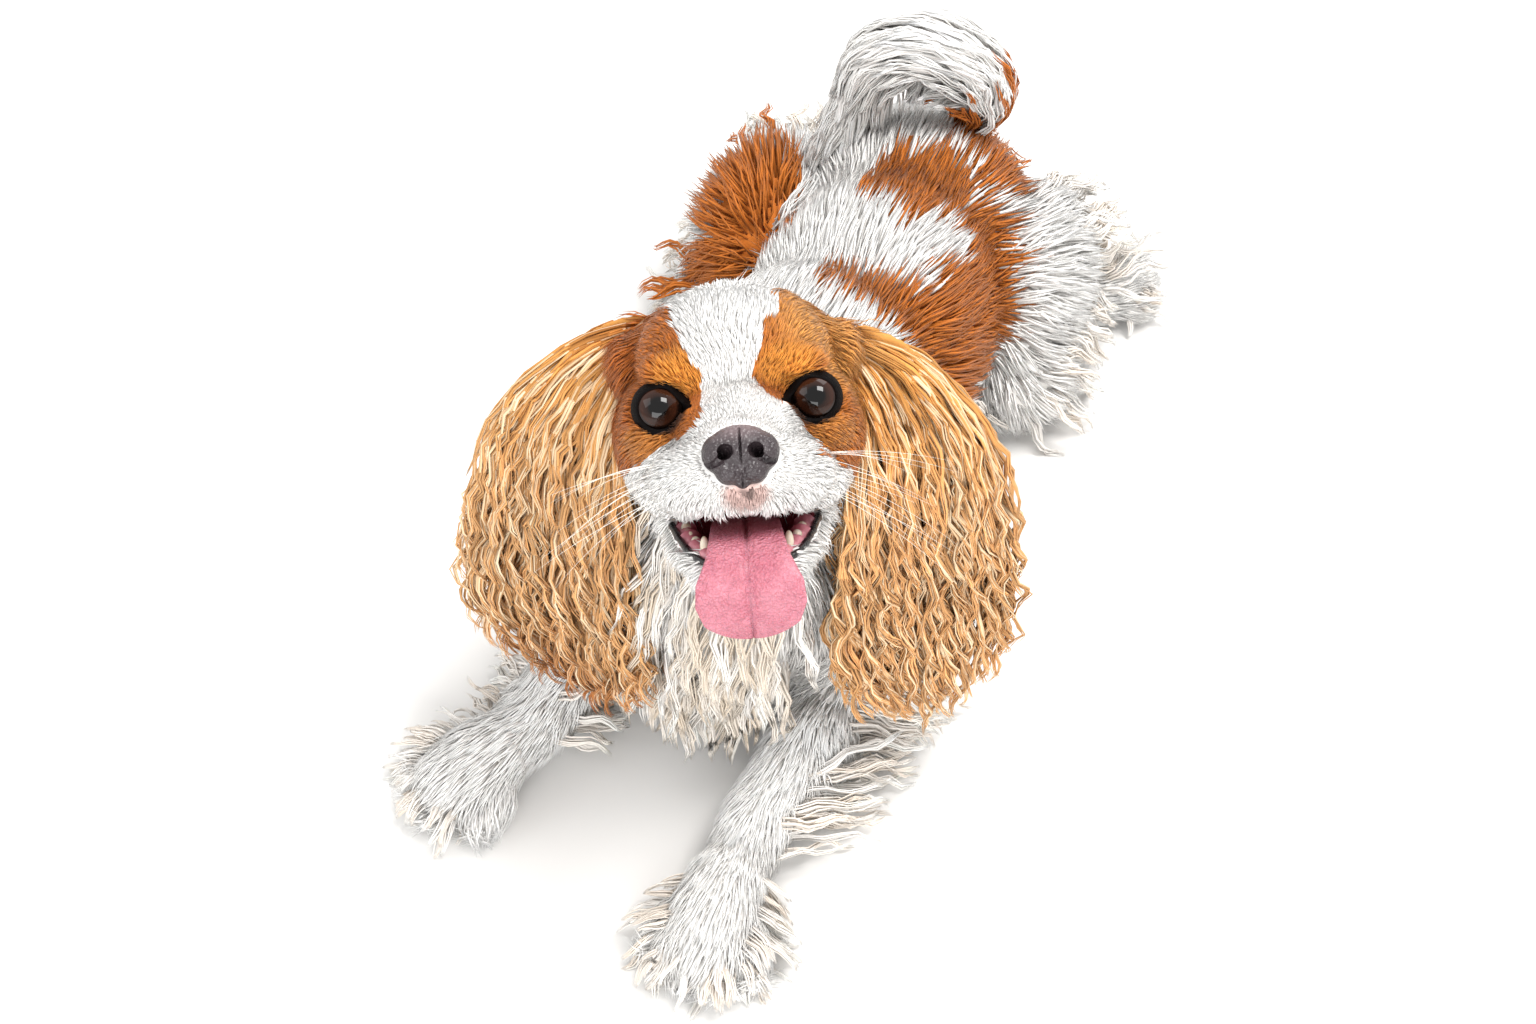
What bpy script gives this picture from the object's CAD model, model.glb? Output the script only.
import math

import bmesh
import bpy
import numpy as np
from mathutils import Matrix, Vector, kdtree
from mathutils.bvhtree import BVHTree


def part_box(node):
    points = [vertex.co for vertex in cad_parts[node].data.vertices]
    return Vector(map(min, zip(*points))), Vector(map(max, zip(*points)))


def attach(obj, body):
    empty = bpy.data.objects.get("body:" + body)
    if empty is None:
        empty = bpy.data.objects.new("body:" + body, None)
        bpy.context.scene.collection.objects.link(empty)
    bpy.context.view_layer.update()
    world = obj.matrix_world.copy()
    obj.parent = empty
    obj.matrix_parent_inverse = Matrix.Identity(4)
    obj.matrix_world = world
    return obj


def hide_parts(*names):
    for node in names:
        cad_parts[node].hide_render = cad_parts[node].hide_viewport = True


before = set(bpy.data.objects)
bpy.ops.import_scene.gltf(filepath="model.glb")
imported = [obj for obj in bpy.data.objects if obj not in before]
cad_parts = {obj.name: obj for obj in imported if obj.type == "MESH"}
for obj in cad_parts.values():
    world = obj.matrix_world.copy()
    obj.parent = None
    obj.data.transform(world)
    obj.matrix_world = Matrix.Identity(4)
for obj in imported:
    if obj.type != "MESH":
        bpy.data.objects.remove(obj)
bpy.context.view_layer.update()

# Places are in centimetres: the dog faces -Y, its left is +X and the floor is Z = 0.
# The head has its own axes, from a point midway between the eyes: side, back, up.
headPose = {"middle": (2.4, 0.0, 28.5), "turn": 22.0, "raise": 50.0, "tip": 3.2}
eyeShape = {"spread": 3.28, "depth": 0.95, "radius": 1.14, "gaze": (0.0, -1.0, 0.06)}


def headAxes():
    turn, rise, tip = (math.radians(headPose[name]) for name in ("turn", "raise", "tip"))
    level = Vector((math.cos(turn), math.sin(turn), 0))
    back = Vector((-math.sin(turn) * math.cos(rise), math.cos(turn) * math.cos(rise), -math.sin(rise)))
    up = level.cross(back)
    side = level * math.cos(tip) + up * math.sin(tip)
    top = up * math.cos(tip) - level * math.sin(tip)
    axes = Matrix((side, back, top)).transposed().to_4x4()
    axes.translation = Vector(headPose["middle"])
    return axes


headToBody = headAxes()
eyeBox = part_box("eye_left")
eyeCentre = Vector([(eyeBox[0][axis] + eyeBox[1][axis]) / 2 for axis in range(3)])
eyePlace = headToBody @ Vector((eyeShape["spread"], eyeShape["depth"], 0))
bodyShift = np.array(eyeCentre - eyePlace * 0.01)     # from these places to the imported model's frame
headMatrix = np.array([list(row) for row in headToBody])
headInverse = np.array([list(row) for row in headToBody.inverted()])
bodyMatrix = np.identity(4)
dice = np.random.RandomState(11)


def placeBy(matrix, places):
    places = np.asarray(places, float)
    return places @ matrix[:3, :3].T + matrix[:3, 3]


def turnBy(matrix, ways):
    return np.asarray(ways, float) @ matrix[:3, :3].T


def unit(rows):
    return rows / np.maximum(np.linalg.norm(rows, axis=-1, keepdims=True), 1e-9)


def linear(text):
    values = [int(text[start:start + 2], 16) / 255 for start in (1, 3, 5)]
    return np.array([value / 12.92 if value <= 0.04045 else ((value + 0.055) / 1.055) ** 2.4 for value in values])


def rgba(text):
    return (*linear(text), 1)


def ripple(places, size, phase=0.0):
    # smooth unevenness between -1 and 1, with waves of about the given size in centimetres
    x, y, z = (places[:, axis] * 2 * math.pi / size for axis in range(3))
    first = np.sin(x + 1.7 * np.sin(y * 0.7 + phase) + phase)
    second = np.sin(y * 1.1 + 1.3 * np.sin(z * 0.8 - phase) + 2.1)
    third = np.sin(z * 0.9 + 1.5 * np.sin(x * 0.6 + 2 * phase) - 1.3)
    return (first + second + third) / 3


def smoothStep(values, low, high):
    share = np.clip((values - low) / (high - low), 0, 1)
    return share * share * (3 - 2 * share)


# Nodes and materials

def addNode(tree, kind, settings=None, links=None):
    node = tree.nodes.new(kind)
    for name, value in (settings or {}).items():
        if isinstance(name, int) or name in node.inputs:
            node.inputs[name].default_value = value
        else:
            setattr(node, name, value)
    for name, source in (links or {}).items():
        tree.links.new(source, node.inputs[name])
    return node


def newMaterial(name, shaderSettings):
    material = bpy.data.materials.new(name)
    material.use_nodes = True
    tree = material.node_tree
    shader = tree.nodes["Principled BSDF"]
    for socket, value in shaderSettings.items():
        shader.inputs[socket].default_value = value
    return material, tree, shader


def coatMaterial():
    # Long silky dog hair: fine strands side by side, which split the light into thin streaks
    material, tree, shader = newMaterial("silkyDogHair", {"Roughness": 0.48, "Specular IOR Level": 0.2,
                                               "Sheen Weight": 0.05, "Sheen Roughness": 0.4})
    colour = addNode(tree, "ShaderNodeAttribute", {"attribute_name": "coatColour"})
    strand = addNode(tree, "ShaderNodeAttribute", {"attribute_name": "strand"})
    streaks = addNode(tree, "ShaderNodeTexNoise", {"Scale": 1.0, "Detail": 3.0, "Roughness": 0.6},
                      {"Vector": strand.outputs["Vector"]})
    brightness = addNode(tree, "ShaderNodeRGBToBW", {}, {"Color": colour.outputs["Color"]})
    darkest = addNode(tree, "ShaderNodeMapRange", {1: 0.1, 2: 0.7, 3: 0.70, 4: 0.93},
                      {0: brightness.outputs[0]})
    lightest = addNode(tree, "ShaderNodeMapRange", {1: 0.1, 2: 0.7, 3: 1.22, 4: 1.04},
                       {0: brightness.outputs[0]})
    tone = addNode(tree, "ShaderNodeMapRange", {1: 0.3, 2: 0.7},
                   {0: streaks.outputs["Fac"], 3: darkest.outputs[0], 4: lightest.outputs[0]})
    shaded = addNode(tree, "ShaderNodeVectorMath", {"operation": "SCALE"},
                     {0: colour.outputs["Color"], "Scale": tone.outputs[0]})
    bump = addNode(tree, "ShaderNodeBump", {"Strength": 0.25, "Distance": 0.0003},
                   {"Height": streaks.outputs["Fac"]})
    tree.links.new(shaded.outputs[0], shader.inputs["Base Color"])
    tree.links.new(bump.outputs[0], shader.inputs["Normal"])
    return material


def skinMaterial():
    # Short down close to the skin: soft, matt, with the coat's own colours
    material, tree, shader = newMaterial("downySkin", {"Roughness": 0.75, "Specular IOR Level": 0.2})
    colour = addNode(tree, "ShaderNodeAttribute", {"attribute_name": "coatColour"})
    place = addNode(tree, "ShaderNodeTexCoord")
    down = addNode(tree, "ShaderNodeTexNoise", {"Scale": 900.0, "Detail": 2.0},
                   {"Vector": place.outputs["Object"]})
    bump = addNode(tree, "ShaderNodeBump", {"Strength": 0.4, "Distance": 0.0006},
                   {"Height": down.outputs["Fac"]})
    tree.links.new(colour.outputs["Color"], shader.inputs["Base Color"])
    tree.links.new(bump.outputs[0], shader.inputs["Normal"])
    return material


# Markings: the coat's colour at any place on the body

coatColours = {"white": "#FBF9F6", "cream": "#F0E2D2", "chestnut": "#C6712A", "dark": "#A3531B",
               "rust": "#B5682C",
               "gold": "#DFA970", "pale": "#FBE8C6", "brow": "#E0923C", "tan": "#E3A155", "mouth": "#8A3A42",
               "beige": "#DFCBB0", "blush": "#CDA9A0", "rim": "#20130F"}
# height in the head's axes, then how far the white reaches to its right (-) and left (+)
blaze = ((-9.0, -9.0, 9.0), (-4.6, -7.4, 7.0), (-3.5, -6.2, 5.0), (-2.6, -4.9, 3.9), (-1.9, -3.6, 3.3),
         (-0.9, -1.95, 2.5), (-0.2, -1.5, 2.2), (0.3, -1.4, 1.4), (1.1, -1.25, 0.75), (1.9, -1.75, 0.95),
         (3.1, -2.35, 1.4), (4.4, -2.9, 2.0), (8.0, -3.2, 2.6))
bodyPatches = (
    ("chestnut", (1.8, 28.6, 14.5), (3.4, 3.2, 5.0)),
    ("chestnut", (5.7, 27.9, 12.0), (2.7, 3.6, 3.8)),
    ("chestnut", (6.8, 24.0, 10.8), (2.7, 4.6, 4.6)),
    ("chestnut", (5.0, 21.0, 12.8), (3.2, 3.2, 4.2)),
    ("chestnut", (1.3, 19.5, 15.6), (2.5, 1.7, 3.0)),
    ("chestnut", (7.2, 17.0, 11.0), (3.6, 5.5, 5.0)),
    ("chestnut", (6.6, 10.5, 16.5), (4.0, 4.0, 4.5)),
    ("white", (4.2, 26.0, 14.2), (1.6, 1.3, 2.4)),
    ("white", (3.4, 22.6, 15.4), (2.3, 1.0, 2.0)),
    ("chestnut", (-8.6, 28.8, 9.8), (3.2, 4.4, 4.8)),
    ("chestnut", (-9.2, 23.8, 6.5), (3.2, 3.6, 4.6)),
    ("chestnut", (-5.8, 26.0, 11.2), (2.2, 1.2, 2.6)),
    ("chestnut", (4.4, 34.4, 12.6), (2.9, 2.8, 3.2)),
    ("chestnut", (-6.5, 9.0, 17.0), (3.4, 4.0, 4.0)),
)


def blend(colours, name, share):
    colours += (linear(coatColours[name]) - colours) * np.asarray(share, float)[:, None]


def markingAt(places, onHead):
    count = len(places)
    colours = np.tile(linear(coatColours["white"]), (count, 1))
    fringe = ripple(places, 2.6) * 0.14 + ripple(places, 1.1, 1.0) * 0.08
    for name, centre, radii in bodyPatches:
        inside = np.linalg.norm((places - centre) / np.array(radii), axis=1) + fringe < 1
        colours[inside & ~onHead] = linear(coatColours[name])
    local = placeBy(headInverse, places)
    side, back, up = local[:, 0], local[:, 1], local[:, 2]
    height = up + 0.18 * np.maximum(back - 2, 0)
    heights = [row[0] for row in blaze]
    right = np.interp(height, heights, [row[1] for row in blaze]) - fringe * 1.4
    left = np.interp(height, heights, [row[2] for row in blaze]) + fringe * 1.4
    brown = onHead & ((side < right) | (side > left)) & (back < 9.5)
    colours[brown] = linear(coatColours["chestnut"])
    blend(colours, "tan", brown * smoothStep(side, 0.8, 3.2) * smoothStep(back + up, 0.5, 4.0) * 0.85)
    blend(colours, "dark", brown * smoothStep(-side, 3.6, 5.0) * 0.5)
    for sign in (1, -1):
        brow = np.linalg.norm((local - (sign * 2.3, 0.0, 1.5)) / (1.5, 2.4, 1.15), axis=1)
        blend(colours, "brow", brown * (1 - smoothStep(brow, 0.6, 1.15)))
        below = np.linalg.norm((local - (sign * 4.2, 0.4, -1.5)) / (1.4, 2.4, 0.9), axis=1)
        blend(colours, "tan", brown * (1 - smoothStep(below, 0.5, 1.2)) * 0.4)
        rim = np.linalg.norm((local - (sign * eyeShape["spread"], 0.3, -0.05)) / (1.2, 2.0, 1.1), axis=1)
        blend(colours, "rim", onHead * (1 - smoothStep(rim, 0.92, 1.12)) * 0.85)
    lip = np.linalg.norm((local - (0.1, -3.6, -3.75)) / (1.15, 1.2, 0.75), axis=1)
    flecks = smoothStep(ripple(local, 0.9, 0.4), -0.1, 0.5)
    blend(colours, "blush", onHead * (1 - smoothStep(lip, 0.6, 1.15)) * 0.9)
    blend(colours, "rim", onHead * (1 - smoothStep(lip, 0.3, 0.95)) * flecks * 0.7)
    return colours


# Shapes shared by the skin and the coat

trunkMasses = (
    ((-0.2, 6.4, 8.7), (6.4, 7.2, 8.7)), ((-0.3, 13.5, 9.0), (7.2, 9.5, 9.1)),
    ((-0.8, 13.0, 15.0), (4.6, 6.4, 3.3)),
    ((0.6, 23.0, 8.1), (6.6, 9.4, 8.1)), ((0.5, 31.0, 8.2), (6.2, 6.6, 6.8)),
    ((1.2, 34.4, 12.0), (1.9, 1.9, 1.9)),
    ((0.9, 1.8, 14.0), (4.6, 3.4, 5.4)), ((4.7, 7.0, 9.0), (3.5, 5.2, 6.6)),
    ((-5.1, 7.0, 9.0), (3.5, 5.2, 6.6)),
    ((6.0, 6.4, 3.4), (2.5, 3.4, 3.6)), ((-6.2, 6.4, 3.4), (2.5, 3.4, 3.6)),
    ((6.4, 31.2, 5.5), (4.3, 6.2, 5.7)),
    ((8.0, 27.4, 3.1), (2.9, 3.2, 3.3)), ((-7.1, 30.0, 5.7), (4.7, 5.8, 5.8)),
    ((-8.7, 26.9, 3.6), (3.0, 3.0, 3.9)),
)
trunkLimbs = (
    (((1.4, 3.2, 23.0), 4.5), ((0.6, 6.0, 18.5), 5.2), ((-0.4, 9.5, 13.0), 6.4)),
    (((6.3, 6.4, 2.5), 2.3), ((5.5, 1.0, 2.3), 2.0), ((4.6, -4.2, 2.1), 1.75), ((4.5, -7.4, 2.0), 1.5)),
    (((-6.4, 6.2, 2.5), 2.3), ((-7.2, 0.8, 2.3), 2.0), ((-8.0, -3.0, 2.1), 1.75), ((-8.6, -4.4, 2.0), 1.5)),
    (((6.6, 33.4, 3.0), 2.0), ((9.4, 35.0, 2.1), 1.5)),
    (((-6.0, 34.4, 3.0), 2.0), ((-8.2, 32.0, 2.0), 1.6)),
)
tailLine = (((1.3, 34.4, 12.2), 1.4), ((2.9, 34.8, 15.2), 1.7), ((2.5, 34.2, 18.0), 1.9),
            ((-0.1, 33.3, 19.5), 1.9), ((-2.6, 32.6, 18.2), 1.7), ((-3.7, 32.0, 15.4), 1.0))
headMasses = (
    ((0.0, 5.2, 1.3), (4.7, 4.9, 3.9)), ((0.0, 2.6, 1.9), (4.1, 2.9, 3.0)),
    ((0.0, 0.3, -1.5), (2.9, 2.9, 2.4)),
    ((0.0, -1.9, -2.1), (2.0, 2.1, 1.7)), ((0.0, -2.8, -3.6), (1.8, 1.2, 1.2)),
)
headPairs = (
    ((2.5, 0.9, 1.5), (1.7, 1.4, 1.2)), ((3.2, 3.4, -1.3), (2.1, 3.5, 2.9)),
    ((3.9, 5.2, 2.0), (1.3, 2.2, 1.5)),
    ((1.8, -1.6, -3.0), (2.0, 2.2, 1.6)), ((2.7, 0.3, -3.3), (1.6, 2.2, 1.3)),
)
palate = ((0.0, -0.7, -5.1), (2.4, 3.4, 1.15))
jawMasses = (((0.0, -1.3, -7.2), (1.8, 1.3, 0.9)), ((0.0, 1.4, -6.5), (2.2, 3.2, 0.9)),
             ((0.0, 3.6, -5.0), (2.4, 2.4, 1.3)))
jawLine = (((2.6, 3.6, -4.3), 1.0), ((2.3, 1.4, -5.6), 0.95), ((1.5, -0.9, -6.8), 0.85))
jawHollow = ((0.0, 0.2, -5.0), (3.0, 3.3, 1.5))
pawPlaces = (((4.5, -7.2, 2.1), (4.7, -10.6, 1.7), 1.0), ((-8.6, -4.2, 2.1), (-10.0, -6.6, 1.7), 1.0),
             ((9.2, 34.7, 2.1), (11.5, 37.6, 1.6), 0.95), ((-8.2, 32.0, 2.0), (-10.5, 26.9, 1.6), 0.95))
earLines = {
    "left": (((4.3, 6.9, 25.9), 1.0, 0.6), ((6.3, 7.4, 24.2), 2.1, 0.8), ((8.2, 6.9, 20.5), 3.2, 0.9),
             ((9.1, 5.7, 16.2), 3.8, 1.0), ((9.6, 4.5, 12.5), 4.0, 1.0), ((10.1, 3.4, 9.0), 3.6, 0.9),
             ((10.6, 2.6, 6.2), 2.4, 0.6)),
    "right": (((-3.0, 4.6, 26.0), 1.0, 0.6), ((-4.8, 3.9, 24.2), 2.1, 0.8), ((-6.3, 2.3, 20.5), 3.2, 0.9),
              ((-6.5, 0.7, 16.2), 4.0, 1.0), ((-6.0, -0.5, 12.0), 4.5, 1.0), ((-5.3, -1.2, 8.4), 4.0, 0.9),
              ((-4.9, -1.4, 5.7), 2.6, 0.6)),
}
earSpans = {"left": (0.80, 0.60, 0.0), "right": (-0.99, 0.12, 0.0)}
earCups = {"left": 0.13, "right": -0.13}


noseShape = {"voxel": 0.0006, "rounds": 10, "under": "#332A2D", "over": "#806E70"}
noseMasses = (((0.0, -3.45, -1.9), (1.42, 0.85, 1.05)), ((0.92, -3.55, -2.0), (0.68, 0.80, 0.80)),
              ((-0.92, -3.55, -2.0), (0.68, 0.80, 0.80)), ((0.48, -3.6, -2.75), (0.62, 0.66, 0.55)),
              ((-0.48, -3.6, -2.75), (0.62, 0.66, 0.55)), ((0.0, -3.5, -3.1), (0.4, 0.5, 0.5)))
nostrilLine = (((0.60, -4.8, -1.85), 0.36), ((0.62, -4.2, -1.9), 0.34), ((0.80, -3.7, -2.05), 0.26),
               ((1.0, -3.4, -2.15), 0.14))
wingLine = (((0.78, -4.26, -2.15), 0.22), ((1.08, -4.12, -2.36), 0.18), ((1.38, -3.85, -2.42), 0.14),
            ((1.6, -3.5, -2.33), 0.1))
tongueLine = (((0.0, 2.4, -5.2), 1.45, 0.45), ((0.0, 0.0, -5.4), 1.5, 0.42), ((0.0, -1.9, -5.7), 1.55, 0.4),
              ((0.0, -2.9, -6.4), 1.75, 0.36), ((0.0, -3.3, -7.3), 2.2, 0.34),
              ((0.0, -3.2, -8.1), 2.28, 0.30),
              ((0.0, -2.9, -8.9), 1.95, 0.26), ((0.0, -2.5, -9.55), 1.2, 0.2))
upperLip = (((-3.2, 2.2, -4.7), 0.12), ((-3.1, 0.8, -4.65), 0.09), ((-2.7, -0.9, -4.6), 0.06),
            ((-1.8, -2.1, -4.4), 0.05),
            ((-0.8, -2.9, -4.2), 0.05), ((0.0, -3.1, -4.0), 0.05), ((0.8, -2.9, -4.2), 0.05),
            ((1.8, -2.1, -4.4), 0.05),
            ((2.7, -0.9, -4.6), 0.06), ((3.1, 0.8, -4.65), 0.09), ((3.2, 2.2, -4.7), 0.12))
lowerLip = (((-3.15, 2.6, -4.7), 0.14), ((-3.1, 1.4, -5.0), 0.15), ((-2.8, 0.2, -5.5), 0.15),
            ((-2.35, -0.9, -6.05), 0.15),
            ((-1.6, -1.8, -6.5), 0.14), ((0.0, -2.5, -6.75), 0.12), ((1.6, -1.8, -6.5), 0.14),
            ((2.35, -0.9, -6.05), 0.15),
            ((2.8, 0.2, -5.5), 0.15), ((3.1, 1.4, -5.0), 0.15), ((3.15, 2.6, -4.7), 0.14))


def mirrored(place):
    return (-place[0], place[1], place[2])


def onLine(line, shares):
    # places and sizes on a smooth curve through a line's points, at shares of its length
    points = np.array([row[0] for row in line], float)
    sizes = np.array([row[1:] for row in line], float)
    ahead = np.clip(np.atleast_1d(shares), 0, 1) * (len(line) - 1)
    index = np.minimum(ahead.astype(int), len(line) - 2)
    part = (ahead - index)[:, None]
    rows = [points[np.clip(index + step, 0, len(line) - 1)] for step in (-1, 0, 1, 2)]
    weights = (-part ** 3 / 2 + part ** 2 - part / 2, 1.5 * part ** 3 - 2.5 * part ** 2 + 1,
               -1.5 * part ** 3 + 2 * part ** 2 + part / 2, part ** 3 / 2 - part ** 2 / 2)
    places = sum(weight * row for weight, row in zip(weights, rows))
    return places, sizes[index] * (1 - part) + sizes[index + 1] * part


def addObject(name, mesh):
    item = bpy.data.objects.new(name, mesh)
    bpy.context.scene.collection.objects.link(item)
    return item


def meshObject(name, mesh):
    # an object from an edit mesh, which is freed
    data = bpy.data.meshes.new(name)
    mesh.to_mesh(data)
    mesh.free()
    return addObject(name, data)


def addColours(data, name, tones):
    # a colour for every vertex, from rows of three linear values
    values = np.ones((len(data.vertices), 4), np.float32)
    values[:, :3] = tones
    layer = data.color_attributes.new(name, "FLOAT_COLOR", "POINT")
    layer.data.foreach_set("color", values.ravel())


def bridgeRings(mesh, rings):
    # side faces between rings of corners, and a face over each end
    for first, second in zip(rings, rings[1:]):
        for index in range(len(first)):
            other = (index + 1) % len(first)
            mesh.faces.new((first[index], first[other], second[other], second[index]))
    mesh.faces.new(rings[0])
    mesh.faces.new(rings[-1])
    bmesh.ops.recalc_face_normals(mesh, faces=mesh.faces)


def dressPiece(item, look, slot, *replaced):
    # a finished piece: its material, the body it rides on and the nodes that it stands in for
    item.data.materials.clear()
    item.data.materials.append(look)
    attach(item, "root")
    if replaced:
        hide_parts(*replaced)


def settle(item):
    bpy.context.view_layer.update()
    graph = bpy.context.evaluated_depsgraph_get()
    mesh = bpy.data.meshes.new_from_object(item.evaluated_get(graph))
    item.modifiers.clear()
    old = item.data
    item.data = mesh
    bpy.data.meshes.remove(old)
    return item


def bodyTransform(matrix):
    whole = np.identity(4)
    whole[:3, :3] = matrix[:3, :3] * 0.01
    whole[:3, 3] = matrix[:3, 3] * 0.01 + bodyShift
    return Matrix([list(row) for row in whole])


def ballShape(segments=24):
    # vertices and faces of a plain ball of radius 1, to be stretched into masses
    rows = segments // 2
    polar = np.linspace(0, math.pi, rows + 1)[1:-1]
    turn = np.arange(segments) * 2 * math.pi / segments
    ring = np.stack([np.cos(turn), np.sin(turn)], axis=1)
    verts = [(0.0, 0.0, 1.0)]
    for angle in polar:
        verts.extend((math.sin(angle) * x, math.sin(angle) * y, math.cos(angle)) for x, y in ring)
    verts.append((0.0, 0.0, -1.0))
    faces = []
    for index in range(segments):
        other = (index + 1) % segments
        faces.append((0, 1 + index, 1 + other))
        for row in range(rows - 2):
            first, second = 1 + row * segments, 1 + (row + 1) * segments
            faces.append((first + index, second + index, second + other))
            faces.append((first + index, second + other, first + other))
        last = 1 + (rows - 2) * segments
        faces.append((last + index, len(verts) - 1, last + other))
    return np.array(verts), np.array(faces)


ballVerts, ballFaces = ballShape()


def addMass(parts, matrix, centre, radii, inset=0.0):
    reach = np.maximum(np.array(radii, float) - inset, 0.05)
    parts.append(placeBy(matrix, ballVerts * reach + centre))


def addLimb(parts, matrix, line, inset=0.0, steps=8):
    places, sizes = onLine(line, np.linspace(0, 1, steps * (len(line) - 1) + 1))
    for place, size in zip(places, sizes):
        addMass(parts, matrix, place, (size[0],) * 3, inset)


def meshOf(name, verts, faces):
    data = bpy.data.meshes.new(name)
    data.from_pydata((np.asarray(verts) * 0.01 + bodyShift).tolist(), [], np.asarray(faces).tolist())
    data.update()
    return addObject(name, data)


def meltParts(name, parts, voxel, rounds, factor=0.5):
    # masses melted into one smooth form
    verts = np.concatenate(parts)
    faces = np.concatenate([ballFaces + index * len(ballVerts) for index in range(len(parts))])
    return soften(meshOf(name, verts, faces), voxel, rounds, factor)


def soften(item, voxel, rounds, factor=0.5):
    if voxel:
        grain = item.modifiers.new("grain", "REMESH")
        grain.mode = "VOXEL"
        grain.voxel_size = voxel
    if rounds:
        smooth = item.modifiers.new("smooth", "SMOOTH")
        smooth.factor = factor
        smooth.iterations = rounds
    return settle(item)


def addBlade(mesh, line, span, cup, steps=24, sides=16):
    # a flat cupped flap along a line of places with half width and half thickness
    places, sizes = onLine(line, np.linspace(0, 1, steps + 1))
    tangents = unit(np.gradient(places, axis=0))
    across = unit(span - tangents * (tangents @ np.array(span))[:, None])
    face = np.cross(tangents, across)
    rings = []
    for place, size, sideways, outward in zip(places, sizes, across, face):
        ring = []
        for index in range(sides):
            angle = 2 * math.pi * index / sides
            reach = math.cos(angle)
            rise = math.sin(angle) * size[1] + cup * size[0] * reach * reach
            point = place + sideways * reach * size[0] + outward * rise
            ring.append(mesh.verts.new(tuple(point * 0.01 + bodyShift)))
        rings.append(ring)
    bridgeRings(mesh, rings)


def carve(item, tools):
    # cuts ellipsoids out of a form
    for matrix, centre, radii in tools:
        tool = meshOf("tool", placeBy(matrix, ballVerts * np.array(radii) + centre), ballFaces)
        cut = item.modifiers.new("cut", "BOOLEAN")
        cut.operation = "DIFFERENCE"
        cut.solver = "MANIFOLD"
        cut.object = tool
        settle(item)
        bpy.data.objects.remove(tool)
    return item


def treeOf(item):
    mesh = bmesh.new()
    mesh.from_mesh(item.data)
    tree = BVHTree.FromBMesh(mesh)
    mesh.free()
    return tree


# The skin

skinShape = {"voxel": 0.0016, "trunkInset": 0.4, "limbInset": 0.2, "headInset": 0.12, "browInset": 0.3,
             "jawInset": 0.08,
             "trianglesKept": 0.3, "overFloor": 0.0004}
# metres of grain and rounds of smoothing where masses melt into one form
melts = {"trunk": (0.0034, 12), "head": (0.0017, 9), "jaw": (0.0015, 4), "paws": (0.0016, 4),
         "flap": (0.0016, 2),
         "tail": (0.002, 3)}
eyeSocket = {"deeper": 0.5, "higher": 0.05, "radii": (1.02, 1.6, 1.0)}
noseHollow = ((0.0, -3.5, -2.1), (1.25, 0.95, 1.05))


def buildTrunk():
    parts = []
    for centre, radii in trunkMasses:
        addMass(parts, bodyMatrix, centre, radii, skinShape["trunkInset"])
    for line in trunkLimbs:
        addLimb(parts, bodyMatrix, line, skinShape["limbInset"])
    return meltParts("trunk", parts, *melts["trunk"])


def buildHead():
    parts = []
    inset = skinShape["headInset"]
    for centre, radii in headMasses:
        addMass(parts, headMatrix, centre, radii, inset)
    for index, (centre, radii) in enumerate(headPairs):
        deeper = inset + (skinShape["browInset"] if index == 0 else 0)
        addMass(parts, headMatrix, centre, radii, deeper)
        addMass(parts, headMatrix, mirrored(centre), radii, deeper)
    head = meltParts("head", parts, *melts["head"])
    tools = [(headMatrix, *palate), (headMatrix, *noseHollow)]
    for sign in (1, -1):
        socket = (sign * eyeShape["spread"], eyeShape["depth"] - eyeSocket["deeper"], eyeSocket["higher"])
        tools.append((headMatrix, socket, eyeSocket["radii"]))
    return carve(head, tools)


def buildJaw():
    parts = []
    for centre, radii in jawMasses:
        addMass(parts, headMatrix, centre, radii, skinShape["jawInset"])
    for line in (jawLine, [(mirrored(place), radius) for place, radius in jawLine]):
        addLimb(parts, headMatrix, line, skinShape["jawInset"])
    return carve(meltParts("jaw", parts, *melts["jaw"]), [(headMatrix, *jawHollow)])


def buildPaws():
    parts = []
    for wrist, toes, scale in pawPlaces:
        start, end = np.array(wrist), np.array(toes)
        ahead = unit((end - start) * (1, 1, 0))
        aside = np.array((-ahead[1], ahead[0], 0))
        addLimb(parts, bodyMatrix, ((start, 1.6 * scale), ((start + end) / 2, 1.85 * scale),
                                    (end, 1.75 * scale)))
        for spread, reach in ((-1.7, -0.3), (-0.6, 0.6), (0.6, 0.6), (1.7, -0.3)):
            toe = end + (aside * spread + ahead * reach) * scale
            toe[2] = 1.1 * scale
            knuckle = end + (aside * spread * 0.8 + ahead * (reach - 1.2)) * scale
            nail = toe + ahead * 0.8 * scale
            addLimb(parts, bodyMatrix, ((knuckle, 0.8 * scale), (toe, 0.92 * scale), (nail, 0.6 * scale)))
    return meltParts("paws", parts, *melts["paws"])


def buildEarFlap(side):
    mesh = bmesh.new()
    line = [(place, width * 0.86, thick * 0.45) for place, width, thick in earLines[side]]
    shares = np.linspace(0, 0.62, 12)
    places, sizes = onLine(line, shares)
    flap = [(tuple(place), *size) for place, size in zip(places, sizes)]
    addBlade(mesh, flap, earSpans[side], earCups[side])
    return soften(meshObject("flap_" + side, mesh), *melts["flap"])


def buildTailCore():
    parts = []
    addLimb(parts, bodyMatrix, [(place, radius * 0.55) for place, radius in tailLine])
    return meltParts("tailCore", parts, *melts["tail"])


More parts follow.
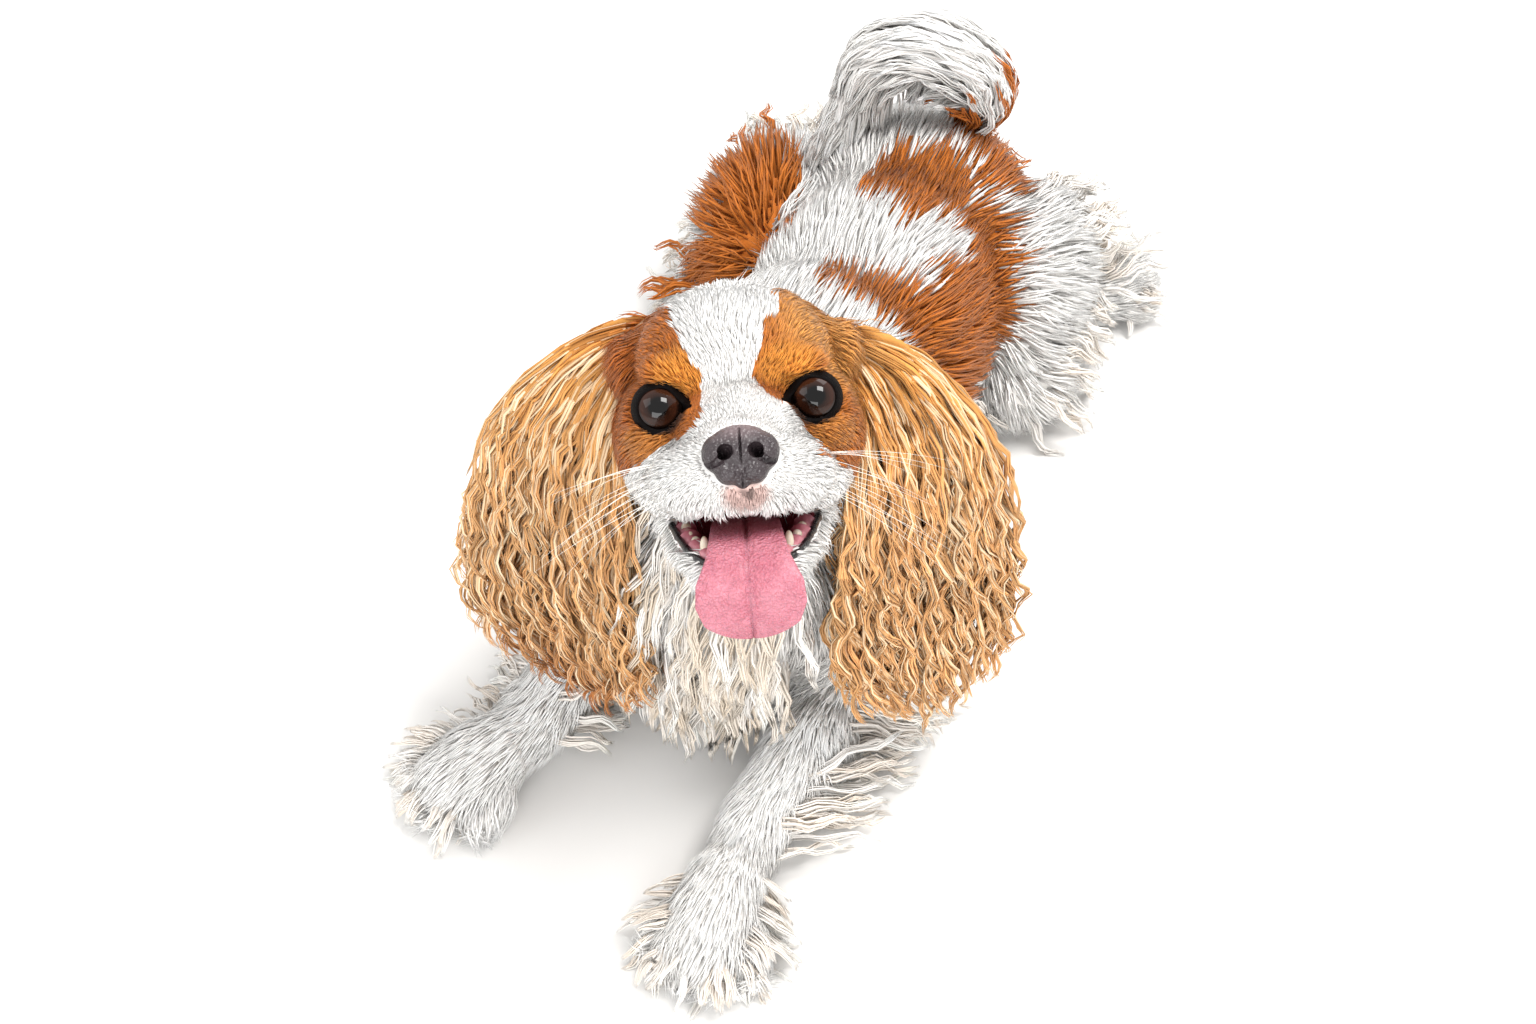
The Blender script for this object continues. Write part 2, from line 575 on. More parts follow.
def joinSkin(sources):
    joined = bmesh.new()
    for item in sources.values():
        joined.from_mesh(item.data)
    skin = meshObject("skin", joined)
    grain = skin.modifiers.new("grain", "REMESH")
    grain.mode = "VOXEL"
    grain.voxel_size = skinShape["voxel"]
    smooth = skin.modifiers.new("smooth", "SMOOTH")
    smooth.factor = 0.5
    smooth.iterations = 2
    settle(skin)
    places = (vertexPlaces(skin) - bodyShift) * 100
    local = placeBy(headInverse, places)
    body = 1 - smoothStep(10 - local[:, 1], -1, 1) * smoothStep(local[:, 2], -10, -8)
    body = np.maximum(body, smoothStep(np.linalg.norm(local, axis=1), 8, 10))
    group = skin.vertex_groups.new(name="body")
    for level in range(1, 5):
        chosen = np.nonzero(np.round(body * 4) == level)[0]
        group.add(chosen.tolist(), level / 4, "REPLACE")
    coarse = skin.modifiers.new("coarse", "DECIMATE")
    coarse.ratio = skinShape["trianglesKept"]
    coarse.vertex_group = "body"
    coarse.vertex_group_factor = 1.0
    settle(skin)
    skin.vertex_groups.clear()
    return skin


def vertexPlaces(item):
    values = np.empty(len(item.data.vertices) * 3)
    item.data.vertices.foreach_get("co", values)
    return values.reshape(-1, 3)


def triangulate(item):
    mesh = bmesh.new()
    mesh.from_mesh(item.data)
    bmesh.ops.triangulate(mesh, faces=mesh.faces)
    mesh.to_mesh(item.data)
    mesh.free()


def unwrapSkin(skin):
    # the map that the coat's patches lie on: the skin's own surface, cut into flat islands
    skin.data.uv_layers.new(name="OFBake")
    bpy.context.view_layer.objects.active = skin
    skin.select_set(True)
    bpy.ops.object.mode_set(mode="EDIT")
    bpy.ops.mesh.select_all(action="SELECT")
    bpy.ops.uv.smart_project(angle_limit=math.radians(72), island_margin=0.001)
    bpy.ops.object.mode_set(mode="OBJECT")
    skin.select_set(False)


print("skin: masses")
sources = {"trunk": buildTrunk(), "head": buildHead(), "jaw": buildJaw(), "paws": buildPaws(),
           "earLeft": buildEarFlap("left"), "earRight": buildEarFlap("right"), "tail": buildTailCore()}
skin = joinSkin(sources)
triangulate(skin)
lifted = vertexPlaces(skin)
lifted[:, 2] = np.maximum(lifted[:, 2], skinShape["overFloor"])
skin.data.vertices.foreach_set("co", lifted.ravel())
skin.data.update()
print("skin: triangles", len(skin.data.polygons))
unwrapSkin(skin)
print("skin: unwrapped")
for item in sources.values():
    bpy.data.objects.remove(item)
skinTree = treeOf(skin)


def massGap(places, masses):
    # how far outside the nearest of a group of ellipsoids each place lies, in centimetres
    nearest = np.full(len(places), 1e9)
    for centre, radii in masses:
        away = np.linalg.norm((places - centre) / np.array(radii), axis=1)
        nearest = np.minimum(nearest, (away - 1) * min(radii))
    return nearest


def limbGap(places, line, scale=1.0):
    points, sizes = onLine(line, np.linspace(0, 1, 6 * len(line)))
    nearest = np.full(len(places), 1e9)
    for point, size in zip(points, sizes):
        nearest = np.minimum(nearest, np.linalg.norm(places - point, axis=1) - size[0] * scale)
    return nearest


def sourceOf(places):
    # which part of the body each place in centimetres belongs to
    local = placeBy(headInverse, places)
    pairs = [*headPairs, *((mirrored(centre), radii) for centre, radii in headPairs)]
    gaps = {"head": massGap(local, [*headMasses, *pairs]),
            "jaw": np.minimum(massGap(local, jawMasses),
                              limbGap(np.abs(local) * (1, 0, 0) + local * (0, 1, 1), jawLine)),
            "trunk": massGap(places, trunkMasses), "tail": limbGap(places, tailLine, 0.55)}
    for line in trunkLimbs:
        gaps["trunk"] = np.minimum(gaps["trunk"], limbGap(places, line))
    gaps["paws"] = np.min([limbGap(places, ((wrist, 1.6), (toes, 1.9))) for wrist, toes, _ in pawPlaces],
                          axis=0)
    for name, side in (("earLeft", "left"), ("earRight", "right")):
        line = earLines[side]
        across = np.array(earSpans[side])
        points, sizes = onLine(line, np.linspace(0.03, 0.62, 40))
        nearest = np.full(len(places), 1e9)
        for point, size in zip(points, sizes):
            offset = places - point
            beside = offset @ across
            rest = np.linalg.norm(offset - beside[:, None] * across, axis=1)
            nearest = np.minimum(nearest, np.maximum(np.abs(beside) - size[0], 0) + rest - size[1] * 0.5)
        gaps[name] = nearest
    names = np.array(list(gaps))
    return names[np.argmin(np.array([gaps[name] for name in names]), axis=0)]


polygonCount = len(skin.data.polygons)
polygonVerts = np.empty(polygonCount * 3, int)
skin.data.polygons.foreach_get("vertices", polygonVerts)
polygonVerts = polygonVerts.reshape(-1, 3)
skinPlaces = vertexPlaces(skin)
corners = skinPlaces[polygonVerts]
polygonCross = np.cross(corners[:, 1] - corners[:, 0], corners[:, 2] - corners[:, 0])
polygonArea = np.linalg.norm(polygonCross, axis=1) / 2
polygonNormal = unit(polygonCross)
polygonMiddle = corners.mean(axis=1)
polygonSource = sourceOf((polygonMiddle - bodyShift) * 100)
polygonUv = np.empty(polygonCount * 6)
skin.data.uv_layers["OFBake"].data.foreach_get("uv", polygonUv)
polygonUv = polygonUv.reshape(-1, 3, 2)
print("skin: regions", {name: int((polygonSource == name).sum()) for name in set(polygonSource)})


def insideMouth(local):
    depth = np.linalg.norm((local - palate[0]) / (np.array(palate[1]) + 0.14), axis=1)
    floor = np.linalg.norm((local - jawHollow[0]) / (np.array(jawHollow[1]) + 0.14), axis=1)
    return (depth < 1) | (floor < 1)


def skinColours(places, onHead):
    colours = markingAt(places, onHead)
    local = placeBy(headInverse, places)
    mouth = onHead & insideMouth(local)
    colours[mouth] = linear(coatColours["mouth"])
    return colours


earTones = {"left": ("tan", "tan", "gold", "gold", "gold"),
            "right": ("chestnut", "tan", "gold", "gold", "rust")}


def paintSkin():
    places = (skinPlaces - bodyShift) * 100
    vertexHead = np.zeros(len(places), bool)
    vertexEar = np.zeros(len(places), bool)
    headFaces = np.isin(polygonSource, ("head", "jaw"))
    vertexHead[polygonVerts[headFaces].ravel()] = True
    vertexEar[polygonVerts[np.isin(polygonSource, ("earLeft", "earRight"))].ravel()] = True
    colours = skinColours(places, vertexHead)
    colours[vertexEar] = linear(coatColours["tan"]) * 0.8
    addColours(skin.data, "coatColour", colours)


paintSkin()
skin.data.shade_smooth()
fleshNodes = [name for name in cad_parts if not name.startswith(("eye", "nose", "tongue", "teeth"))]
dressPiece(skin, skinMaterial(), "white_coat", *fleshNodes)


# Tufts and strands

hair = coatMaterial()
overFloor = {"hair": 0.03, "lock": 0.1, "tuft": 0.12}


def strandPiece(name, slot, rings, across, widths, thick, colours, patches):
    # rings: strands x rings x 3 in centimetres, the last ring being the tip; colours: strands x rings x 3
    strands, ringCount = rings.shape[:2]
    tangents = unit(np.gradient(rings, axis=1))
    across = unit(across - tangents * (across * tangents).sum(axis=2, keepdims=True))
    face = np.cross(tangents, across)
    wide = across * widths[..., None]
    deep = face * thick[..., None]
    body = np.stack([rings + wide - deep * 0.5, rings + deep, rings - wide - deep * 0.5], axis=2)[:, :-1]
    perStrand = (ringCount - 1) * 3 + 1
    verts = np.empty((strands, perStrand, 3))
    verts[:, :-1] = body.reshape(strands, -1, 3)
    verts[:, -1] = rings[:, -1]
    verts[..., 2] = np.maximum(verts[..., 2], overFloor["hair"])
    faces = []
    for ring in range(ringCount - 2):
        for side in range(3):
            first, second = ring * 3 + side, ring * 3 + (side + 1) % 3
            faces.append((first, second, second + 3))
            faces.append((first, second + 3, first + 3))
    last = (ringCount - 2) * 3
    for side in range(3):
        faces.append((last + side, last + (side + 1) % 3, perStrand - 1))
    faces.append((0, 2, 1))
    pattern = np.array(faces)
    loops = (pattern[None] + (np.arange(strands) * perStrand)[:, None, None]).reshape(-1)
    data = bpy.data.meshes.new(name)
    data.vertices.add(strands * perStrand)
    data.vertices.foreach_set("co", (verts * 0.01 + bodyShift).ravel())
    data.loops.add(len(loops))
    data.loops.foreach_set("vertex_index", loops.astype(np.int32))
    data.polygons.add(len(loops) // 3)
    data.polygons.foreach_set("loop_start", np.arange(0, len(loops), 3, dtype=np.int32))
    data.polygons.foreach_set("use_smooth", np.ones(len(loops) // 3, bool))
    data.update(calc_edges=True)

    ringShare = np.repeat(np.arange(ringCount - 1) / (ringCount - 1), 3)
    alongShare = np.append(ringShare, 1.0)
    sideShare = np.append(np.tile((0.0, 0.5, 1.0), ringCount - 1), 0.5)
    tones = np.concatenate([np.repeat(colours[:, :-1], 3, axis=1), colours[:, -1:]], axis=1)
    addColours(data, "coatColour", tones.reshape(-1, 3))
    length = np.linalg.norm(np.diff(rings, axis=1), axis=2).sum(axis=1)
    strand = np.empty((strands, perStrand, 3), np.float32)
    strand[..., 0] = sideShare * 4.0 + dice.uniform(0, 50, strands)[:, None]
    strand[..., 1] = alongShare * length[:, None] * 0.35
    strand[..., 2] = dice.uniform(0, 50, strands)[:, None]
    layer = data.attributes.new("strand", "FLOAT_VECTOR", "POINT")
    layer.data.foreach_set("vector", strand.ravel())
    patch = np.stack([sideShare, alongShare], axis=1) - 0.5
    uv = patches[:, None, :] + patch[None] * 0.003
    uv = np.clip(uv, 0.001, 0.999).reshape(-1, 2)
    layer = data.uv_layers.new(name="OFBake")
    layer.data.foreach_set("uv", uv[loops].ravel())
    dressPiece(addObject(name, data), hair, slot)
    print(name, "strands", strands, "triangles", len(loops) // 3)


def nearestOnSkin(places):
    # nearest skin place, normal and face for each place in centimetres
    vectors = places * 0.01 + bodyShift
    found = [skinTree.find_nearest(Vector(vector)) for vector in vectors]
    near = (np.array([hit[0] for hit in found]) - bodyShift) * 100
    normals = np.array([hit[1] for hit in found])
    return near, normals, np.array([hit[2] for hit in found])


def pickRoots(weights, count):
    # places on the skin, spread evenly by area times weight
    share = np.cumsum(polygonArea * weights)
    ticks = (np.arange(count) + dice.uniform(0, 1, count)) / count * share[-1]
    faces = np.searchsorted(share, ticks)
    faces = np.minimum(faces, polygonCount - 1)
    first, second = dice.uniform(0, 1, (2, count))
    folded = first + second > 1
    first[folded], second[folded] = 1 - first[folded], 1 - second[folded]
    bary = np.stack([1 - first - second, first, second], axis=1)
    places = (corners[faces] * bary[..., None]).sum(axis=1)
    patches = (polygonUv[faces] * bary[..., None]).sum(axis=1)
    return (places - bodyShift) * 100, polygonNormal[faces], patches, faces


def keepClear(places, heights):
    # raises places until they lie a height over the skin and the floor
    near, normals, _ = nearestOnSkin(places)
    rise = ((places - near) * normals).sum(axis=1)
    low = rise < heights
    places = np.where(low[:, None], near + normals * np.asarray(heights)[:, None], places)
    places[:, 2] = np.maximum(places[:, 2], overFloor["tuft"])
    return places, normals


# The lie of the coat: place, heading, length, stand, wave
headLie = (
    ((0.0, -2.6, -1.0), (0.0, 0.5, 1.0), 0.45, 0.25, 0.0),
    ((0.9, -1.6, -0.9), (0.5, 0.6, 0.8), 0.5, 0.25, 0.0),
    ((0.0, -0.4, 0.6), (0.0, 0.4, 1.0), 0.7, 0.25, 0.0),
    ((0.0, 1.2, 3.6), (0.0, 0.9, 0.8), 1.0, 0.22, 0.0),
    ((0.0, 5.0, 5.2), (0.0, 1.0, 0.0), 1.7, 0.2, 0.05),
    ((2.2, 3.0, 4.2), (0.7, 0.8, -0.1), 1.4, 0.2, 0.05),
    ((3.8, 4.0, 3.2), (0.8, 0.5, -0.9), 1.8, 0.2, 0.08),
    ((4.8, 4.6, 0.4), (0.4, 0.6, -1.0), 2.0, 0.2, 0.08),
    ((2.3, -0.3, 2.2), (0.5, 0.3, 1.0), 0.75, 0.3, 0.0),
    ((3.8, 0.6, 2.2), (0.9, 0.7, 0.5), 0.9, 0.28, 0.0),
    ((4.6, 1.2, 0.2), (0.8, 1.0, -0.3), 0.9, 0.2, 0.0),
    ((1.7, -0.9, 0.2), (0.0, 0.1, 1.0), 0.4, 0.2, 0.0),
    ((2.0, -0.9, -1.0), (0.7, 0.6, -0.5), 0.5, 0.2, 0.0),
    ((3.5, -0.1, -1.7), (0.7, 0.8, -0.5), 0.8, 0.22, 0.0),
    ((4.6, 2.2, -1.6), (0.4, 1.0, -0.7), 1.3, 0.22, 0.03),
    ((4.4, 3.8, -3.4), (0.3, 0.8, -1.0), 2.0, 0.25, 0.06),
    ((1.6, -3.4, -2.8), (0.8, 0.6, -0.5), 0.5, 0.25, 0.0),
    ((3.1, -1.8, -3.0), (0.7, 1.0, -0.3), 0.9, 0.25, 0.0),
    ((3.9, 0.2, -3.4), (0.4, 1.0, -0.6), 1.3, 0.25, 0.03),
    ((1.9, -2.8, -4.2), (0.3, 0.2, -1.0), 1.05, 0.3, 0.04),
    ((0.0, -3.9, -3.7), (0.0, 0.1, -1.0), 0.45, 0.2, 0.0),
    ((3.2, 0.6, -4.6), (0.3, 0.5, -1.0), 1.3, 0.28, 0.04),
    ((0.0, -2.4, -7.6), (0.0, 0.5, -1.0), 0.9, 0.25, 0.03),
    ((1.9, -0.6, -7.2), (0.3, 0.9, -0.6), 1.1, 0.25, 0.03),
    ((2.9, 1.8, -5.8), (0.3, 1.0, -0.7), 1.5, 0.25, 0.05),
    ((0.0, 2.0, -8.0), (0.0, 1.0, -0.6), 1.8, 0.3, 0.08),
    ((0.0, 9.6, 1.6), (0.0, 0.6, -1.0), 2.6, 0.22, 0.1),
    ((3.6, 8.4, 0.0), (0.3, 0.5, -1.0), 2.4, 0.22, 0.1),
)
bodyLie = (
    ((0.4, 9.6, 23.0), (0.0, 0.7, -0.8), 3.0, 0.2, 0.12),
    ((-0.8, 14.5, 18.2), (0.0, 1.0, -0.1), 2.8, 0.2, 0.1),
    ((0.4, 20.0, 16.4), (0.0, 1.0, -0.1), 2.6, 0.2, 0.1), ((0.8, 27.0, 15.8), (0.0, 1.0, 0.0), 2.6, 0.2, 0.1),
    ((0.8, 32.5, 14.4), (0.0, 1.0, -0.1), 2.6, 0.2, 0.1),
    ((1.2, 36.8, 9.5), (0.0, 0.6, -1.0), 3.4, 0.22, 0.15),
    ((1.0, 1.0, 19.0), (0.0, -0.4, -1.0), 3.2, 0.25, 0.15),
    ((0.4, -1.6, 14.0), (0.0, -0.3, -1.0), 4.0, 0.25, 0.2),
    ((0.0, -0.6, 7.0), (0.0, -0.3, -1.0), 4.0, 0.25, 0.2),
    ((0.0, 1.6, 1.6), (0.0, -0.6, -0.8), 2.6, 0.2, 0.1),
    ((0.0, 16.0, 0.2), (0.0, 1.0, 0.0), 1.8, 0.1, 0.05),
)
sideLie = (
    ((5.0, 7.0, 18.0), (0.4, 0.4, -1.0), 3.0, 0.22, 0.12),
    ((8.2, 6.4, 11.0), (0.1, 0.4, -1.0), 3.0, 0.22, 0.12),
    ((7.2, 14.0, 12.0), (0.1, 0.8, -0.8), 2.8, 0.22, 0.1),
    ((7.4, 18.0, 6.5), (0.2, 0.8, -0.7), 3.2, 0.25, 0.15),
    ((6.8, 23.0, 10.0), (0.1, 0.9, -0.6), 2.8, 0.22, 0.1),
    ((5.0, 24.0, 14.0), (0.2, 1.0, -0.3), 2.6, 0.2, 0.1),
    ((6.6, 14.0, 2.6), (0.5, 0.8, -0.3), 3.0, 0.25, 0.15),
    ((8.2, 5.6, 5.6), (0.4, 0.5, -0.8), 3.0, 0.25, 0.15),
    ((8.8, 30.0, 9.8), (0.3, 0.8, -0.8), 3.0, 0.22, 0.12),
    ((11.0, 31.0, 6.0), (0.3, 0.8, -0.8), 3.2, 0.25, 0.15),
    ((9.0, 36.4, 6.0), (0.4, 1.0, -0.4), 3.4, 0.3, 0.2),
    ((10.6, 26.4, 3.4), (0.5, 0.6, -0.6), 2.8, 0.25, 0.12),
    ((5.4, 36.6, 10.0), (0.3, 0.8, -0.8), 3.2, 0.25, 0.15),
    ((8.0, 24.2, 2.0), (0.3, -0.6, -0.6), 2.0, 0.2, 0.1),
)
limbLie = (
    ((6.4, 4.0, 5.6), (-0.1, -0.9, -0.4), 2.0, 0.2, 0.08),
    ((5.2, -1.0, 4.3), (-0.1, -1.0, -0.1), 1.5, 0.18, 0.05),
    ((4.6, -5.6, 3.8), (0.0, -1.0, -0.1), 1.4, 0.18, 0.05),
    ((3.4, -2.0, 2.2), (-0.4, -0.9, -0.4), 1.5, 0.2, 0.06),
    ((7.3, 0.0, 2.2), (0.8, -0.1, -0.4), 2.0, 0.25, 0.12),
    ((6.2, -5.0, 2.0), (0.7, -0.6, -0.4), 1.8, 0.25, 0.1),
    ((4.7, -9.6, 3.6), (0.0, -1.0, -0.3), 1.5, 0.2, 0.05),
    ((4.7, -12.6, 1.8), (0.0, -1.0, -0.5), 1.7, 0.3, 0.08),
    ((7.0, -10.6, 1.4), (0.8, -0.7, -0.3), 2.0, 0.3, 0.12),
    ((2.4, -10.6, 1.4), (-0.8, -0.7, -0.3), 2.0, 0.3, 0.12),
    ((-7.2, 4.0, 5.2), (-0.1, -0.9, -0.4), 2.0, 0.2, 0.08),
    ((-7.4, -0.6, 4.2), (-0.2, -1.0, -0.1), 1.5, 0.18, 0.05),
    ((-8.6, -4.2, 3.8), (-0.5, -0.9, -0.2), 1.5, 0.2, 0.05),
    ((-5.6, -1.0, 2.2), (0.5, -0.8, -0.4), 1.7, 0.25, 0.1),
    ((-9.4, -1.0, 2.2), (-0.8, -0.2, -0.4), 2.0, 0.25, 0.12),
    ((-10.0, -6.6, 3.4), (-0.5, -0.9, -0.3), 1.6, 0.22, 0.08),
    ((-11.0, -8.2, 1.6), (-0.6, -0.9, -0.4), 1.9, 0.3, 0.12),
    ((-12.2, -5.6, 1.4), (-1.0, -0.3, -0.3), 2.0, 0.3, 0.12),
    ((-8.0, -7.8, 1.4), (0.4, -0.9, -0.3), 1.9, 0.3, 0.12),
    ((9.6, 34.8, 3.4), (0.6, 0.8, -0.2), 1.8, 0.25, 0.1),
    ((11.4, 37.4, 3.0), (0.6, 0.9, -0.3), 1.2, 0.2, 0.06),
    ((12.6, 38.6, 1.4), (0.7, 1.0, -0.4), 1.0, 0.18, 0.06),
    ((-9.2, 29.6, 3.4), (-0.5, -0.9, -0.3), 1.8, 0.25, 0.1),
    ((-10.8, 26.4, 2.8), (-0.4, -1.0, -0.3), 1.6, 0.25, 0.1),
    ((-11.2, 24.8, 1.4), (-0.4, -1.0, -0.4), 1.8, 0.3, 0.12),
)


def lieRows(rows, matrix, both):
    found = []
    for place, heading, length, stand, wave in rows:
        signs = (1, -1) if both and abs(place[0]) > 0.3 else (1,)
        for sign in signs:
            spot = placeBy(matrix, [(sign * place[0], place[1], place[2])])[0]
            way = turnBy(matrix, [(sign * heading[0], heading[1], heading[2])])[0]
            found.append(np.concatenate([spot, unit(way[None])[0], (length, stand, wave)]))
    return np.array(found)


coatLie = np.concatenate([lieRows(headLie, headMatrix, True), lieRows(bodyLie, bodyMatrix, False),
                          lieRows(sideLie, bodyMatrix, True), lieRows(limbLie, bodyMatrix, False)])
onHeadLie = np.arange(len(coatLie)) < len(lieRows(headLie, headMatrix, True))


def lieAt(places, onHead):
    # heading, length, stand and wave of the coat at places, from the nearest rows of the table
    gaps = ((places[:, None, :] - coatLie[None, :, :3]) ** 2).sum(axis=2)
    gaps = gaps + 30 * (onHead[:, None] != onHeadLie[None])
    weights = 1 / (gaps + 0.15) ** 2.5
    weights /= weights.sum(axis=1, keepdims=True)
    return weights @ coatLie[:, 3:]


shortCoat = {"rings": 3, "scatter": 0.1, "swirl": 0.18, "swirlSize": 3.0, "lift": 0.08, "highest": 0.8,
             "followers": 7,
             "pull": 0.4, "wave": 0.6}


def layCoat(name, weights, count, width, thick, lengthScale=1.0):
    # short and middling coat: tufts that lie along the flow and gather towards shared tips
    ringCount = shortCoat["rings"]
    roots, normals, patches, faces = pickRoots(weights, count)
    onHead = np.isin(polygonSource[faces], ("head", "jaw"))
    lie = lieAt(roots, onHead)
    heading = lie[:, :3] + dice.normal(0, shortCoat["scatter"], (count, 3))
    swirls = [ripple(roots, shortCoat["swirlSize"], phase) for phase in (0.3, 1.4, 2.2)]
    heading += shortCoat["swirl"] * np.stack(swirls, axis=1)
    heading = unit(heading - normals * (heading * normals).sum(axis=1, keepdims=True))
    length = lie[:, 3] * dice.uniform(0.75, 1.25, count) * lengthScale
    stand = lie[:, 4] * dice.uniform(0.6, 1.4, count)
    layer = dice.uniform(0.3, 1.0, count)
    across = np.cross(heading, normals)
    rings = np.empty((count, ringCount, 3))
    rings[:, 0] = roots - normals * 0.06 - heading * 0.05
    way = unit(heading + normals * stand[:, None])
    place = roots
    for ring in range(1, ringCount):
        place = place + way * (length / (ringCount - 1))[:, None]
        share = ring / (ringCount - 1)
        rise = length * shortCoat["lift"] * layer * math.sin(math.pi * min(share, 0.6))
        height = np.minimum(0.05 + rise, shortCoat["highest"])
        place, normal = keepClear(place, height)
        rings[:, ring] = place
        way = unit(place - rings[:, ring - 1])
        way = unit(way - normal * np.maximum((way * normal).sum(axis=1, keepdims=True), 0) * 0.7)
    leaders = np.arange(0, count, shortCoat["followers"])
    tree = kdtree.KDTree(len(leaders))
    for index, leader in enumerate(leaders):
        tree.insert(Vector(roots[leader]), index)
    tree.balance()
    chosen = leaders[np.array([tree.find(Vector(root))[1] for root in roots])]
    for ring in range(1, ringCount):
        share = shortCoat["pull"] * (ring / (ringCount - 1)) ** 1.3
        rings[:, ring] += (rings[chosen, ring] - rings[:, ring]) * share
    wave = lie[:, 5] * shortCoat["wave"]
    phase = dice.uniform(0, 2 * math.pi, count)[chosen]
    for ring in range(1, ringCount):
        share = ring / (ringCount - 1)
        rings[:, ring] += across * (wave * share * np.sin(phase + length * share * 2.4))[:, None]
    taper = 1 - np.linspace(0, 1, ringCount) ** 2 * 0.8
    scale = np.clip(length / np.median(length), 0.75, 1.35) * dice.uniform(0.75, 1.25, count)
    widths = width * scale[:, None] * taper[None]
    thicks = thick * scale[:, None] * taper[None]
    base = markingAt(rings[:, ringCount - 2] * 0.6 + rings[:, -1] * 0.4, onHead)
    pale = smoothStep(base.min(axis=1), 0.3, 0.7)
    value = 1 + (dice.uniform(-0.16, 0.12, count) + 0.08 * ripple(roots, 1.8, 0.7)) * (1 - pale * 0.7)
    shade = np.linspace(0.86, 1.03, ringCount)
    colours = np.clip(base[:, None, :] * value[:, None, None] * shade[None, :, None], 0, 0.93)
    across = np.repeat(across[:, None], ringCount, axis=1)
    strandPiece(name, "white_coat", rings, across, widths, thicks, colours, patches)


polygonPlace = (polygonMiddle - bodyShift) * 100
polygonLocal = placeBy(headInverse, polygonPlace)
faceOnly = np.isin(polygonSource, ("head", "jaw")) & ~insideMouth(polygonLocal)
for sign in (1, -1):
    fromEye = (polygonLocal - (sign * eyeShape["spread"], 0, 0)) * (sign, 1, 1)
    before = polygonLocal[:, 1] < eyeShape["depth"] + 0.6
    faceOnly &= ~((np.hypot(fromEye[:, 0] / 0.98, fromEye[:, 2] / 0.95) < 1) & before)
    faceOnly &= ~((np.hypot((fromEye[:, 0] + 1.12) / 0.34, (fromEye[:, 2] + 0.16) / 0.2) < 1) & before)
noseGap = np.minimum(massGap(polygonLocal, noseMasses), massGap(polygonLocal * (-1, 1, 1), noseMasses))
faceOnly &= (noseGap > 0.02) & (limbGap(polygonLocal, lowerLip) > 0.04)
frontFace = faceOnly & (polygonLocal[:, 1] < 3.2)
backHead = faceOnly & ~frontFace
flowLength = lieAt(polygonPlace, np.isin(polygonSource, ("head", "jaw")))[:, 3]
trunkPart = polygonSource == "trunk"
pawPart = polygonSource == "paws"
underneath = (polygonNormal[:, 2] < -0.75) & (polygonPlace[:, 2] < 1.2)
openTrunk = trunkPart & ~underneath
halves = {"front": openTrunk & (polygonPlace[:, 1] < 17), "rear": openTrunk & (polygonPlace[:, 1] >= 17)}
legs = pawPart & ~underneath | (openTrunk & (polygonPlace[:, 1] < 3) & (polygonPlace[:, 2] < 5.5))

layCoat("coat_face", frontFace / np.maximum(flowLength, 0.4), 19000, 0.046, 0.017)
layCoat("coat_skull", backHead * 1.0, 9500, 0.052, 0.02)
layCoat("coat_front", halves["front"] * 1.0, 13800, 0.064, 0.024, 1.15)
layCoat("coat_rear", halves["rear"] * 1.0, 13800, 0.064, 0.024, 1.15)
layCoat("coat_legs", legs * 1.0, 12000, 0.05, 0.022, 1.1)


# Long locks: each is a bundle of wavy strands round one middle line

def strandsAround(middle, across, radius, count, ringCount, waveSize, waveLength, curl, taper=0.75):
    # middle, across: locks x rings x 3; returns strands of every lock and the lock that each belongs to
    locks = middle.shape[0]
    owner = np.repeat(np.arange(locks), count)
    total = len(owner)
    tangents = unit(np.gradient(middle, axis=1))[owner]
    sideways = unit(across[owner] - tangents * (across[owner] * tangents).sum(axis=2, keepdims=True))
    outward = np.cross(tangents, sideways)
    angle = dice.uniform(0, 2 * math.pi, total)
    reach = np.sqrt(dice.uniform(0, 1, total)) * radius[owner]
    share = np.linspace(0, 1, ringCount)[None]
    gather = 1 - taper * share ** 1.2
    length = np.linalg.norm(np.diff(middle, axis=1), axis=2).sum(axis=1)[owner]
    phase = dice.uniform(0, 2 * math.pi, locks)[owner] + dice.normal(0, 0.3, total)
    turns = (length / waveLength * 2 * math.pi * dice.uniform(0.85, 1.2, locks)[owner])[:, None] * share
    ease = np.minimum(share * 2.2, 1)
    size = (waveSize[owner] * dice.uniform(0.75, 1.25, total))[:, None] * ease
    aside = (reach * np.cos(angle))[:, None] * gather + size * np.sin(phase[:, None] + turns)
    out = (reach * np.sin(angle) * 0.6)[:, None] * gather + size * curl * np.cos(phase[:, None] + turns)
    rings = middle[owner] + sideways * aside[..., None] + outward * out[..., None]
    return rings, sideways, owner


def lockColours(base, owner, ringCount, rootShade=0.7, tipShade=1.05, spread=0.1, highlight=None, often=0.0):
    total = len(owner)
    value = dice.uniform(1 - spread, 1 + spread * 0.7, total)
    lockValue = dice.uniform(1 - spread, 1 + spread * 0.6, owner.max() + 1)[owner]
    shade = np.linspace(rootShade, tipShade, ringCount)
    colours = base[owner] if base.ndim == 3 else np.repeat(base[owner][:, None], ringCount, axis=1)
    colours = colours * (value * lockValue)[:, None, None] * shade[None, :, None]
    if highlight is not None:
        lit = (dice.uniform(0, 1, total) < often)
        colours[lit] += (highlight - colours[lit]) * dice.uniform(0.3, 0.8, lit.sum())[:, None, None]
    return np.clip(colours, 0, 0.93)


def patchesAt(places):
    near, _, faces = nearestOnSkin(places)
    return polygonUv[faces].mean(axis=1) + dice.uniform(-0.001, 0.001, (len(places), 2))


